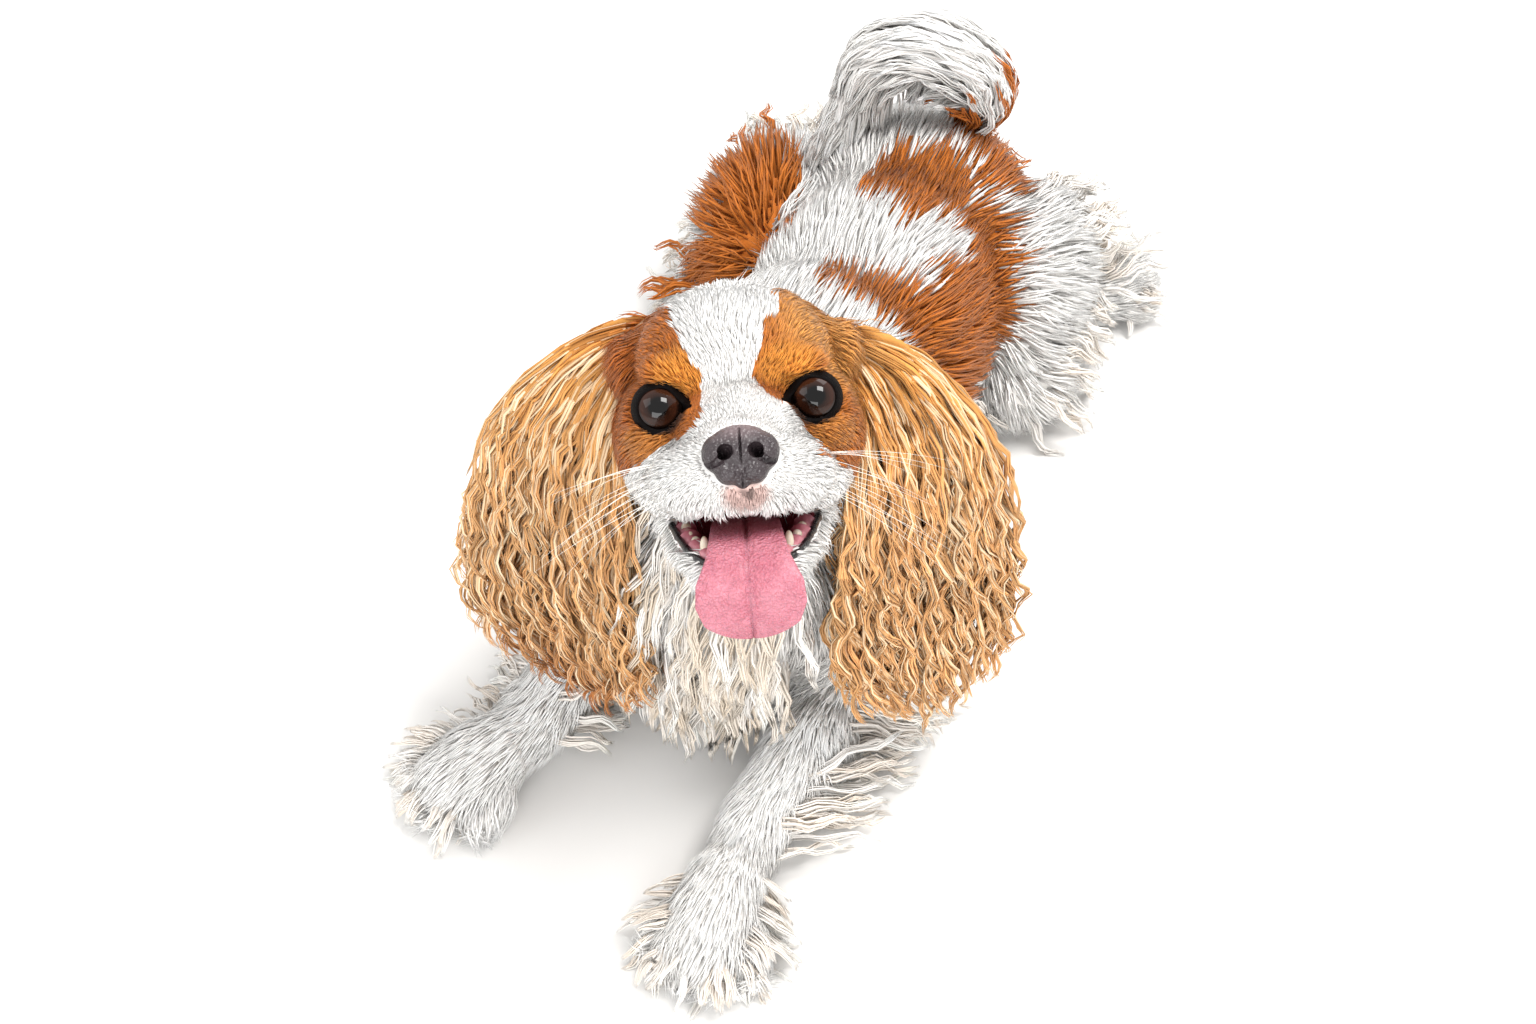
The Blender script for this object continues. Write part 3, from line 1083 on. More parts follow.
def strandSizes(total, ringCount, width, thick):
    share = np.linspace(0, 1, ringCount)
    taper = (1 - share ** 2.2 * 0.8) * (0.75 + 0.25 * np.minimum(share * 4, 1))
    scale = dice.uniform(0.7, 1.3, total)[:, None]
    return width * scale * taper[None], thick * scale * taper[None]


longCoat = {"rings": 8, "strands": 7, "width": 0.07, "thick": 0.045, "pawStrands": 9, "pawWidth": 0.045}
# node, first and last root, spread across, locks, heading, length, sag, wave, radius
lockRows = (
    ("ruff", (-1.4, 1.2, 20.5), (4.2, 0.6, 20.0), 1.2, 36, (0.0, -0.5, -1.0), 5.2, 0.18, 0.20, 0.42),
    ("ruff", (-1.6, -0.8, 17.0), (4.4, -1.0, 16.8), 1.2, 40, (0.0, -0.4, -1.0), 5.6, 0.18, 0.22, 0.45),
    ("ruff", (-1.8, 0.0, 13.0), (4.6, 0.2, 13.0), 1.3, 44, (0.0, -0.35, -1.0), 5.6, 0.18, 0.24, 0.45),
    ("ruff", (-2.6, 0.2, 9.0), (4.0, 0.4, 9.0), 1.4, 42, (0.0, -0.4, -1.0), 5.2, 0.15, 0.24, 0.42),
    ("ruff", (-2.6, 0.8, 5.2), (2.4, 0.8, 5.2), 1.2, 24, (0.0, -0.6, -1.0), 4.0, 0.1, 0.2, 0.4),
    ("feather_belly", (7.4, 10.4, 6.0), (7.0, 21.0, 5.4), 1.6, 52, (0.5, 0.9, -0.6), 5.6, 0.2, 0.24, 0.42),
    ("feather_belly", (-7.6, 10.4, 6.0), (-6.6, 21.0, 5.4), 1.6, 52, (-0.5, 0.9, -0.6), 5.6, 0.2, 0.24, 0.42),
    ("feather_legs", (8.2, 8.8, 7.4), (7.6, 3.0, 3.4), 1.2, 40, (0.8, 0.4, -0.4), 5.2, 0.18, 0.28, 0.40),
    ("feather_legs", (7.4, 4.6, 2.4), (6.0, -5.4, 2.2), 0.8, 46, (0.9, 0.7, -0.1), 5.2, 0.1, 0.26, 0.36),
    ("feather_legs", (-8.2, 8.2, 6.8), (-8.6, 3.0, 3.2), 1.2, 36, (-0.8, 0.5, -0.4), 4.8, 0.18, 0.28, 0.40),
    ("feather_legs", (-8.8, 2.4, 2.4), (-9.6, -3.4, 2.2), 0.8, 26, (-0.9, 0.5, -0.1), 3.4, 0.1, 0.24, 0.36),
    ("feather_legs", (-6.0, 1.4, 2.0), (-7.0, -3.4, 2.0), 0.8, 22, (0.7, 0.8, -0.1), 3.2, 0.1, 0.22, 0.34),
    ("feather_paws", (3.0, -11.6, 1.6), (6.6, -11.6, 1.6), 0.7, 30, (0.0, -1.0, -0.3), 2.2, 0.16, 0.10, 0.34),
    ("feather_paws", (6.9, -11.2, 1.6), (6.2, -6.4, 2.0), 0.7, 30, (0.8, -0.8, -0.3), 2.5, 0.2, 0.12, 0.34),
    ("feather_paws", (2.6, -11.2, 1.6), (2.9, -7.0, 1.8), 0.7, 26, (-0.7, -0.9, -0.3), 2.3, 0.2, 0.12, 0.34),
    ("feather_paws", (-12.2, -7.2, 1.5), (-9.4, -8.4, 1.5), 0.7, 26, (-0.5, -0.9, -0.3), 2.1, 0.18, 0.10,
     0.34),
    ("feather_paws", (-12.4, -6.8, 1.6), (-10.2, -2.8, 2.0), 0.7, 28, (-0.9, -0.4, -0.3), 2.5, 0.2, 0.12,
     0.34),
    ("feather_paws", (12.0, 38.0, 1.6), (12.8, 35.6, 1.6), 0.6, 18, (0.5, 0.8, -0.4), 1.0, 0.15, 0.08, 0.26),
    ("feather_paws", (-11.6, 25.6, 1.6), (-11.8, 28.4, 1.6), 0.6, 14, (-0.8, -0.5, -0.3), 1.2, 0.15, 0.10,
     0.30),
    ("breeches", (9.8, 25.6, 4.0), (10.6, 33.0, 5.0), 1.4, 40, (0.5, 0.7, -0.6), 4.0, 0.18, 0.22, 0.40),
    ("breeches", (9.2, 34.0, 9.6), (9.8, 35.6, 4.2), 1.4, 42, (0.6, 1.0, 0.0), 4.6, 0.14, 0.30, 0.42),
    ("breeches", (6.6, 36.0, 10.0), (7.4, 37.0, 3.2), 1.4, 46, (0.35, 1.0, -0.1), 5.2, 0.14, 0.30, 0.42),
    ("breeches", (-10.8, 25.0, 4.2), (-11.6, 31.6, 5.0), 1.4, 40, (-0.6, 0.7, -0.5), 3.8, 0.16, 0.24, 0.40),
    ("breeches", (-9.4, 33.0, 9.4), (-10.2, 34.6, 3.8), 1.4, 40, (-0.6, 1.0, 0.0), 4.8, 0.12, 0.32, 0.42),
    ("breeches", (-7.0, 35.0, 9.6), (-7.6, 35.8, 3.2), 1.4, 40, (-0.25, 1.0, 0.0), 5.2, 0.12, 0.32, 0.42),
    ("breeches", (-3.8, 36.8, 10.4), (4.4, 37.2, 10.4), 1.4, 44, (0.0, 0.9, -0.8), 4.6, 0.2, 0.26, 0.42),
)


def growLocks(name):
    rows = [row for row in lockRows if row[0] == name]
    ringCount = longCoat["rings"]
    roots, headings, sizes = [], [], []
    for _, first, last, spread, count, heading, length, sag, wave, radius in rows:
        share = (np.arange(count) + dice.uniform(-0.4, 0.4, count)) / count
        places = np.array(first) + (np.array(last) - np.array(first)) * share[:, None]
        roots.append(places + dice.uniform(-spread, spread, (count, 3)))
        headings.append(unit(np.array(heading) + dice.normal(0, 0.16, (count, 3))))
        sizes.append((length * dice.uniform(0.72, 1.15, count), np.full(count, sag), np.full(count, wave),
                      radius * dice.uniform(0.7, 1.2, count)))
    roots, headings = np.concatenate(roots), np.concatenate(headings)
    lengths, sags, waves, radii = np.concatenate(sizes, axis=1)
    near, normals, _ = nearestOnSkin(roots)
    count = len(near)
    layer = dice.uniform(0.25, 1.1, count)
    middle = np.empty((count, ringCount, 3))
    across = np.empty((count, ringCount, 3))
    way = unit(headings - normals * (headings * normals).sum(axis=1, keepdims=True) * 0.75)
    way = unit(way + normals * 0.3)
    middle[:, 0] = near - normals * 0.2
    across[:, 0] = np.cross(way, normals)
    place = near
    for ring in range(1, ringCount):
        way = unit(way - np.array((0, 0, 1)) * sags[:, None] * (5 / (ringCount - 1)))
        place = place + way * (lengths / (ringCount - 1))[:, None]
        place, normal = keepClear(place, 0.15 + layer * 0.6 * min(ring / 3, 1))
        flat = np.clip(1 - place[:, 2] / 1.4, 0, 1)[:, None]
        normal = unit(normal * (1 - flat) + np.array((0, 0, 1)) * flat)
        way = unit(place - middle[:, ring - 1])
        middle[:, ring] = place
        across[:, ring] = np.cross(way, normal)
    onPaws = name == "feather_paws"
    each = longCoat["pawStrands" if onPaws else "strands"]
    rings, sideways, owner = strandsAround(middle, across, radii, each, ringCount, waves, 3.2, 0.5)
    rings[..., 2] = np.maximum(rings[..., 2], overFloor["lock"])
    base = markingAt(near, np.zeros(count, bool))
    warm = linear(coatColours["beige" if name == "ruff" else "cream"])
    base = base + (warm - base) * (dice.uniform(0.1, 0.8, count) * (base.min(axis=1) > 0.5))[:, None]
    colours = lockColours(base, owner, ringCount, 0.9, 1.04, 0.06)
    widths, thicks = strandSizes(len(owner), ringCount, longCoat["pawWidth" if onPaws else "width"],
                                 longCoat["thick"])
    strandPiece(name, "white_coat", rings, sideways, widths, thicks, colours, patchesAt(near)[owner])


for pieceName in ("ruff", "feather_belly", "feather_legs", "feather_paws", "breeches"):
    growLocks(pieceName)


# The ears: wavy hair that hangs in layers from the crown to the tips
earCoat = {"width": 0.064, "thick": 0.044, "radius": 0.21, "wave": 0.30, "waveLength": 2.9, "curl": 0.85}
# piece, start and spread of starts, length along the ear, locks, strands, rings, layer, on the outer face
earRows = (("upper", 0.02, 0.03, 0.34, 36, 8, 11, 0.35, 1), ("upper", 0.09, 0.04, 0.36, 38, 8, 11, 0.7, 1),
           ("upper", 0.17, 0.04, 0.34, 38, 8, 11, 0.85, 1), ("upper", 0.25, 0.04, 0.32, 38, 8, 11, 0.9, 1),
           ("upper", 0.33, 0.04, 0.30, 36, 8, 11, 0.85, 1),
           ("lower", 0.40, 0.04, 0.30, 30, 6, 16, 0.8, 1), ("lower", 0.47, 0.04, 0.30, 32, 6, 16, 0.8, 1),
           ("lower", 0.54, 0.04, 0.30, 34, 6, 16, 0.7, 1), ("lower", 0.61, 0.04, 0.30, 34, 6, 16, 0.6, 1),
           ("lower", 0.68, 0.04, 0.30, 34, 6, 16, 0.4, 1), ("lower", 0.74, 0.04, 0.30, 30, 6, 16, 0.15, 1),
           ("lower", 0.12, 0.08, 0.34, 22, 6, 16, 0.6, -1), ("lower", 0.36, 0.08, 0.34, 30, 6, 16, 0.7, -1),
           ("lower", 0.58, 0.08, 0.36, 32, 6, 16, 0.5, -1))


def earMiddle(side, row):
    # middle lines of one row of locks, from the flap towards the tips
    _, start, spread, reach, count, _, ringCount, layer, facing = row
    line, span, cup = earLines[side], np.array(earSpans[side]), earCups[side]
    outer = (1 if side == "left" else -1) * facing
    sideShare = -1.0 + 2.0 * (np.arange(count) + dice.uniform(-0.4, 0.4, count)) / (count - 1)
    dice.shuffle(sideShare)
    begin = start + dice.uniform(-spread, spread, count)
    end = begin + reach * dice.uniform(0.75, 1.2, count)
    end = np.minimum(end, 1.07 - 0.20 * sideShare ** 2 + dice.uniform(-0.10, 0.03, count))
    drift = dice.normal(0, 0.13, count) + 0.1 * sideShare * (begin > 0.3)
    depth = layer + dice.uniform(-0.45, 0.55, count)
    middle = np.empty((count, ringCount, 3))
    for ring in range(ringCount):
        part = ring / (ringCount - 1)
        share = begin + (end - begin) * part
        centre, size = onLine(line, share)
        ahead = unit(onLine(line, share + 0.02)[0] - onLine(line, share - 0.02)[0] + (0, 0, -1e-6))
        face = unit(np.cross(ahead, span))
        sideways = np.clip(sideShare + drift * part, -1.12, 1.12)
        lift = outer * (size[:, 1] * 0.4 + depth * min(part * 2.5, 1))
        bow = cup * size[:, 0] * sideShare ** 2
        middle[:, ring] = centre + span * sideways[:, None] * size[:, :1] + face * (lift + bow)[:, None]
        middle[:, ring, 2] -= np.maximum(share - 1, 0) * 22
    return middle, begin, end


def growEar(side, part):
    span = np.array(earSpans[side])
    parts = []
    tones = np.array([linear(coatColours[name]) for name in earTones[side]])
    for row in earRows:
        if row[0] != part:
            continue
        count, each, ringCount = row[4:7]
        middle, begin, end = earMiddle(side, row)
        flat = middle.reshape(-1, 3)
        middle = keepClear(flat, np.full(len(flat), 0.14))[0].reshape(middle.shape)
        waves = earCoat["wave"] * (0.15 + 0.85 * smoothStep((begin + end) / 2, 0.15,
                                                            0.55)) * dice.uniform(0.6, 1.3, count)
        radii = earCoat["radius"] * dice.uniform(0.7, 1.3, count)
        across = np.broadcast_to(span, middle.shape)
        rings, sideways, owner = strandsAround(middle, across, radii, each, ringCount, waves,
                                               earCoat["waveLength"], earCoat["curl"])
        shares = begin[:, None] + (end - begin)[:, None] * np.linspace(0, 1, ringCount)[None]
        base = np.stack([np.interp(shares, (0.0, 0.2, 0.45, 0.75, 1.0),
                                   tones[:, channel]) for channel in range(3)], axis=2)
        colours = lockColours(base, owner, ringCount, 0.7, 1.15, 0.2, linear(coatColours["pale"]), 0.34)
        widths, thicks = strandSizes(len(owner), ringCount, earCoat["width"], earCoat["thick"])
        parts.append((rings, sideways, widths, thicks, colours, patchesAt(middle[:, 0])[owner]))
    strandPiece("ear_" + part + "_" + side, "golden_coat", *(np.concatenate(rows) for rows in zip(*parts)))


for side in ("left", "right"):
    for part in ("upper", "lower"):
        growEar(side, part)


# The tail: a plume that swirls along its curve
tailCoat = {"rings": 8, "strands": 7, "locks": 300, "reach": 0.34, "plume": 0.45, "fill": 2.0, "width": 0.08,
            "thick": 0.05}


def growTail():
    count, ringCount = tailCoat["locks"], tailCoat["rings"]
    start = (np.arange(count) + dice.uniform(0, 1, count)) / count
    angle = dice.uniform(0, 2 * math.pi, count)
    reach = tailCoat["reach"] * dice.uniform(0.75, 1.15, count)
    plume = tailCoat["plume"] * dice.uniform(0.3, 1.1, count)
    hub = np.mean([row[0] for row in tailLine], axis=0)     # the middle of the ring that the tail makes
    middle = np.empty((count, ringCount, 3))
    across = np.empty((count, ringCount, 3))
    for ring in range(ringCount):
        part = ring / (ringCount - 1)
        share = start + reach * part
        centre, size = onLine(tailLine, share)
        inside = np.minimum(share, 0.98)
        ahead = unit(onLine(tailLine, inside + 0.02)[0] - onLine(tailLine, inside - 0.02)[0])
        aside = unit(np.cross(ahead, (0.2, 1, 0.1)))
        upright = np.cross(ahead, aside)
        rim = aside * np.cos(angle)[:, None] + upright * np.sin(angle)[:, None]
        inner = np.maximum((rim * unit(hub - centre)).sum(axis=1), 0)
        out = size[:, 0] * (0.38 + 0.38 * min(part * 3, 1)) + (plume + tailCoat["fill"] * inner) * part ** 1.3
        centre = centre + ahead * (np.maximum(share - 1, 0) * 15)[:, None]
        middle[:, ring] = centre + rim * out[:, None]
        across[:, ring] = np.cross(ahead, rim)
    radii = np.full(count, 0.4)
    rings, sideways, owner = strandsAround(middle, across, radii, tailCoat["strands"], ringCount,
                                           np.full(count, 0.16), 3.6, 0.5)
    base = markingAt(middle[:, 0], np.zeros(count, bool))
    base[start > 0.1] = linear(coatColours["white"])
    colours = lockColours(base, owner, ringCount, 0.82, 1.04, 0.06)
    widths, thicks = strandSizes(len(owner), ringCount, tailCoat["width"], tailCoat["thick"])
    strandPiece("tail_plume", "white_coat", rings, sideways, widths, thicks, colours,
                patchesAt(middle[:, 0])[owner])


growTail()


# The eyes
def eyePiece(side, sign):
    mesh = bmesh.new()
    bmesh.ops.create_uvsphere(mesh, u_segments=96, v_segments=72, radius=1)
    centre = Vector((sign * eyeShape["spread"], eyeShape["depth"], 0))
    gaze = Vector(eyeShape["gaze"]).normalized()
    radius = eyeShape["radius"]
    layer = mesh.verts.layers.float_color.new("irisColour")
    tones = ((0.0, "#040303"), (0.33, "#040303"), (0.40, "#1E0E08"), (0.70, "#331A10"), (0.80, "#140A07"),
             (0.92, "#0B0706"), (1.15, "#241916"), (3.2, "#241916"))
    for vert in mesh.verts:
        angle = vert.co.angle(gaze)
        bulge = 1 + 0.045 * math.exp(-(angle / 0.55) ** 4)
        tone = [float(np.interp(angle, [row[0] for row in tones], [linear(row[1])[channel] for row in tones]))
                for channel in range(3)]
        vert[layer] = (*tone, 1)
        vert.co = bodyTransform(headMatrix) @ (centre + vert.co * radius * bulge)
    item = meshObject("eyeball_" + side, mesh)
    item.data.shade_smooth()
    dressPiece(item, eyeLook, "eye", "eye_" + side)


def eyeMaterial():
    # A wet cornea over a dark brown iris: a hard clear gloss over deep colour
    material, tree, shader = newMaterial("wetCornea",
                                         {"Roughness": 0.35, "Coat Weight": 1.0, "Coat Roughness": 0.015,
                                                       "IOR": 1.38, "Specular IOR Level": 0.0,
                                                       "Coat IOR": 1.4})
    colour = addNode(tree, "ShaderNodeAttribute", {"attribute_name": "irisColour"})
    place = addNode(tree, "ShaderNodeTexCoord")
    fibres = addNode(tree, "ShaderNodeTexNoise", {"Scale": 1500.0, "Detail": 2.0},
                     {"Vector": place.outputs["Object"]})
    tone = addNode(tree, "ShaderNodeMapRange", {3: 0.8, 4: 1.25}, {0: fibres.outputs["Fac"]})
    shaded = addNode(tree, "ShaderNodeVectorMath", {"operation": "SCALE"},
                     {0: colour.outputs["Color"], "Scale": tone.outputs[0]})
    tree.links.new(shaded.outputs[0], shader.inputs["Base Color"])
    return material


eyeLook = eyeMaterial()
for side, sign in (("left", 1), ("right", -1)):
    eyePiece(side, sign)


def leatherMaterial(name, hexText, grain, strength, roughness, painted=None):
    # Hairless black skin, pebbled and faintly moist
    material, tree, shader = newMaterial(name, {"Roughness": roughness, "Specular IOR Level": 0.5,
                                                "Coat Weight": 0.15, "Coat Roughness": 0.3})
    place = addNode(tree, "ShaderNodeTexCoord")
    pebbles = addNode(tree, "ShaderNodeTexVoronoi", {"Scale": 1000 / grain},
                      {"Vector": place.outputs["Object"]})
    patches = addNode(tree, "ShaderNodeTexNoise", {"Scale": 180.0, "Detail": 3.0},
                      {"Vector": place.outputs["Object"]})
    tone = addNode(tree, "ShaderNodeMapRange", {3: 0.65, 4: 1.4}, {0: patches.outputs["Fac"]})
    links = {"Scale": tone.outputs[0]}
    if painted:
        links[0] = addNode(tree, "ShaderNodeAttribute", {"attribute_name": painted}).outputs["Color"]
    colour = addNode(tree, "ShaderNodeVectorMath", {"operation": "SCALE", 0: tuple(linear(hexText))}, links)
    bump = addNode(tree, "ShaderNodeBump", {"Strength": strength, "Distance": 0.0009, "invert": True},
                   {"Height": pebbles.outputs["Distance"]})
    tree.links.new(colour.outputs[0], shader.inputs["Base Color"])
    tree.links.new(bump.outputs[0], shader.inputs["Normal"])
    return material


# the real grain is about 0.6 mm: drawn coarser so that it shows
noseLook = leatherMaterial("pebbledNoseLeather", "#453A3D", 1.7, 1.0, 0.36, "noseTone")
lipLook = leatherMaterial("blackLipSkin", "#120D0F", 1.2, 0.4, 0.3)
lidLook = leatherMaterial("blackLidSkin", "#0A0707", 0.8, 0.3, 0.6)
for socket, value in {"Coat Weight": 0.0, "Specular IOR Level": 0.05}.items():
    lidLook.node_tree.nodes["Principled BSDF"].inputs[socket].default_value = value


def skinFront(side, up):
    # how far forward the head's skin lies at a place seen from the front, in the head's axes
    start = placeBy(headMatrix, (side, -12.0, up)) * 0.01 + bodyShift
    way = turnBy(headMatrix, (0, 1, 0))
    hit = skinTree.ray_cast(Vector(start), Vector(way))
    return placeBy(headInverse, (np.array(hit[0]) - bodyShift) * 100)[1]


lidShape = {"across": 0.88, "high": 0.84, "rim": 0.31, "corner": 0.34, "steps": 72, "bands": 7}


def lidPiece(side, sign):
    # a black rim from the eyeball out to the skin, drawn into a corner towards the nose
    mesh = bmesh.new()
    centre = np.array((sign * eyeShape["spread"], eyeShape["depth"], 0))
    rings = []
    for step in range(lidShape["steps"]):
        angle = 2 * math.pi * step / lidShape["steps"]
        wide, high = math.cos(angle), math.sin(angle)
        corner = max(-wide, 0) ** 7
        innerX = wide * (lidShape["across"] + 0.12 * corner)
        innerZ = high * lidShape["high"] - 0.08 * corner
        onBall = math.sqrt(max((eyeShape["radius"] + 0.03) ** 2 - innerX ** 2 - innerZ ** 2, 0.1))
        inner = centre + (sign * innerX, -onBall, innerZ)
        outerX = wide * (lidShape["across"] + lidShape["rim"] + lidShape["corner"] * corner)
        outerZ = high * (lidShape["high"] + lidShape["rim"]) - 0.17 * corner
        outer = centre + (sign * outerX, 0, outerZ)
        outer[1] = min(skinFront(outer[0], outer[2]), 0.9) - 0.02
        ring = []
        for band in range(lidShape["bands"]):
            out = band / (lidShape["bands"] - 1)
            spot = inner + (outer - inner) * out
            spot[1] -= 0.05 * math.sin(math.pi * min(out * 1.2, 1)) * (1 - 0.5 * corner)
            away = np.linalg.norm(spot - centre)
            if away < eyeShape["radius"] + 0.05:
                spot = centre + (spot - centre) * (eyeShape["radius"] + 0.05) / away
            ring.append(mesh.verts.new(bodyTransform(headMatrix) @ Vector(spot)))
        rings.append(ring)
    for first, second in zip(rings, rings[1:] + rings[:1]):
        for band in range(lidShape["bands"] - 1):
            mesh.faces.new((first[band], first[band + 1], second[band + 1], second[band]))
    bmesh.ops.recalc_face_normals(mesh, faces=mesh.faces)
    item = meshObject("lid_" + side, mesh)
    solid = item.modifiers.new("solid", "SOLIDIFY")
    solid.thickness = 0.0008
    solid.offset = -1
    settle(item)
    item.data.shade_smooth()
    dressPiece(item, lidLook, "nose_leather")


for side, sign in (("left", 1), ("right", -1)):
    lidPiece(side, sign)


# The nose
def buildNose():
    parts = []
    for centre, radii in noseMasses:
        addMass(parts, headMatrix, centre, radii)
    nose = meltParts("nose_leather", parts, noseShape["voxel"], noseShape["rounds"])
    tools = []
    for sign in (1, -1):
        for line, steps in ((nostrilLine, 9), (wingLine, 14)):
            for share in np.linspace(0, 1, steps):
                place, size = onLine(line, share)
                tools.append((headMatrix, (sign * place[0][0], place[0][1], place[0][2]), (size[0][0],) * 3))
    for up in np.linspace(-1.0, -3.3, 12):
        depth = -4.34 + 0.25 * abs(up + 2.2) ** 2
        tools.append((headMatrix, (0, depth, up), (0.06, 0.2, 0.22)))
    carve(nose, tools)
    soften(nose, 0, 2)
    local = placeBy(headInverse, (vertexPlaces(nose) - bodyShift) * 100)
    top = smoothStep(local[:, 2] - 0.25 * local[:, 1], -0.6, 0.35)
    under, over = linear(noseShape["under"]), linear(noseShape["over"])
    addColours(nose.data, "noseTone", under + (over - under) * top[:, None])
    nose.data.shade_smooth()
    dressPiece(nose, noseLook, "nose_leather", "nose")


buildNose()

# The mouth
def tubePiece(name, matrix, line, look, slot, steps=60, sides=12, flat=1.0, bumps=0.0):
    mesh = bmesh.new()
    places, sizes = onLine(line, np.linspace(0, 1, steps))
    tangents = unit(np.gradient(places, axis=0))
    rings = []
    for index, (place, size, tangent) in enumerate(zip(places, sizes, tangents)):
        aside = unit(np.cross(tangent, (0.05, 0.1, 1))[None])[0]
        upright = np.cross(aside, tangent)
        radius = size[0] * (1 + bumps * math.sin(index * 1.9) * math.sin(index * 0.7))
        radius *= min(1, 0.25 + index / 4, 0.25 + (steps - 1 - index) / 4)
        ring = []
        for side in range(sides):
            angle = 2 * math.pi * side / sides
            point = place + aside * math.cos(angle) * radius + upright * math.sin(angle) * radius * flat
            ring.append(mesh.verts.new(bodyTransform(matrix) @ Vector(point)))
        rings.append(ring)
    bridgeRings(mesh, rings)
    item = meshObject(name, mesh)
    item.data.shade_smooth()
    dressPiece(item, look, slot)


tubePiece("lip_upper", headMatrix, upperLip, lipLook, "nose_leather")
tubePiece("lip_lower", headMatrix, lowerLip, lipLook, "nose_leather", bumps=0.25)


def tongueMaterial():
    # Wet tongue: fine papillae on a soft pink muscle that glows slightly through
    material, tree, shader = newMaterial("wetTongue", {"Roughness": 0.38, "Subsurface Weight": 0.25,
                                                       "Subsurface Scale": 0.004,
                                                       "Subsurface Radius": (1.0, 0.35, 0.25),
                                                       "Coat Weight": 0.2, "Coat Roughness": 0.25})
    place = addNode(tree, "ShaderNodeTexCoord")
    blush = addNode(tree, "ShaderNodeTexNoise", {"Scale": 90.0, "Detail": 4.0},
                    {"Vector": place.outputs["Object"]})
    ramp = addNode(tree, "ShaderNodeMix", {"data_type": "RGBA", 6: rgba("#A84E62"), 7: rgba("#D48C9A")},
                   {0: blush.outputs["Fac"]})
    # papillae are under 1 mm apart: drawn a little coarser, over shallow wrinkles
    papillae = addNode(tree, "ShaderNodeTexVoronoi", {"Scale": 850.0}, {"Vector": place.outputs["Object"]})
    wrinkles = addNode(tree, "ShaderNodeTexNoise", {"Scale": 260.0, "Detail": 5.0, "Distortion": 1.2},
                       {"Vector": place.outputs["Object"]})
    height = addNode(tree, "ShaderNodeMath", {"operation": "MULTIPLY_ADD", 1: 1.8},
                     {0: wrinkles.outputs["Fac"], 2: papillae.outputs["Distance"]})
    bump = addNode(tree, "ShaderNodeBump", {"Strength": 0.9, "Distance": 0.0013},
                   {"Height": height.outputs[0]})
    tree.links.new(ramp.outputs[2], shader.inputs["Base Color"])
    tree.links.new(bump.outputs[0], shader.inputs["Normal"])
    return material


def buildTongue():
    mesh = bmesh.new()
    steps, sides = 90, 64
    places, sizes = onLine(tongueLine, np.linspace(0, 1, steps))
    tangents = unit(np.gradient(places, axis=0))
    rings = []
    for index, (place, size, tangent) in enumerate(zip(places, sizes, tangents)):
        across = np.array((1.0, 0, 0))
        face = np.cross(tangent, across)
        beyond = max(index / (steps - 1) - 0.84, 0) / 0.16
        end = math.sqrt(max(1 - beyond * beyond, 0.004))
        ring = []
        for side in range(sides):
            angle = 2 * math.pi * side / sides
            reach = math.cos(angle)
            rise = math.sin(angle)
            groove = math.exp(-(reach / 0.07) ** 2) * 0.24 * min(end + 0.2, 1) if rise > 0 else 0
            cup = 0.10 * reach * reach * size[0]
            point = place + across * reach * size[0] * end + face * (rise * size[1] * (0.4 + 0.6 * end) - groove + cup)
            ring.append(mesh.verts.new(bodyTransform(headMatrix) @ Vector(point)))
        rings.append(ring)
    bridgeRings(mesh, rings)
    item = meshObject("tongue_flesh", mesh)
    item.data.shade_smooth()
    dressPiece(item, tongueMaterial(), "tongue", "tongue")


buildTongue()

gumLine = (((-2.6, 2.4, -4.95), 0.36), ((-2.5, 1.0, -5.35), 0.40), ((-2.15, -0.2, -5.85), 0.38),
           ((-1.5, -1.3, -6.3), 0.32),
           ((0.0, -1.9, -6.5), 0.3), ((1.5, -1.3, -6.3), 0.32), ((2.15, -0.2, -5.85), 0.38),
           ((2.5, 1.0, -5.35), 0.40),
           ((2.6, 2.4, -4.95), 0.36))


def gumMaterial():
    # Wet gum: uneven deep pink
    material, tree, shader = newMaterial("wetGum", {"Roughness": 0.3, "Coat Weight": 0.4,
                                                    "Coat Roughness": 0.15})
    place = addNode(tree, "ShaderNodeTexCoord")
    blotch = addNode(tree, "ShaderNodeTexNoise", {"Scale": 350.0, "Detail": 3.0},
                     {"Vector": place.outputs["Object"]})
    ramp = addNode(tree, "ShaderNodeMix", {"data_type": "RGBA", 6: rgba("#A24B5A"), 7: rgba("#E39AA5")},
                   {0: blotch.outputs["Fac"]})
    tree.links.new(ramp.outputs[2], shader.inputs["Base Color"])
    return material


def enamelMaterial():
    # Tooth enamel: hard ivory gloss, yellower towards the gum
    material, tree, shader = newMaterial("toothEnamel", {"Roughness": 0.25, "Subsurface Weight": 0.1,
                                                         "Subsurface Scale": 0.001, "Coat Weight": 0.3})
    place = addNode(tree, "ShaderNodeTexCoord")
    stain = addNode(tree, "ShaderNodeTexNoise", {"Scale": 400.0}, {"Vector": place.outputs["Object"]})
    ramp = addNode(tree, "ShaderNodeMix", {"data_type": "RGBA", 6: rgba("#D9CBAA"), 7: rgba("#F2EBDD")},
                   {0: stain.outputs["Fac"]})
    tree.links.new(ramp.outputs[2], shader.inputs["Base Color"])
    return material


tubePiece("gum_lower", headMatrix, gumLine, gumMaterial(), "tongue", bumps=0.35)


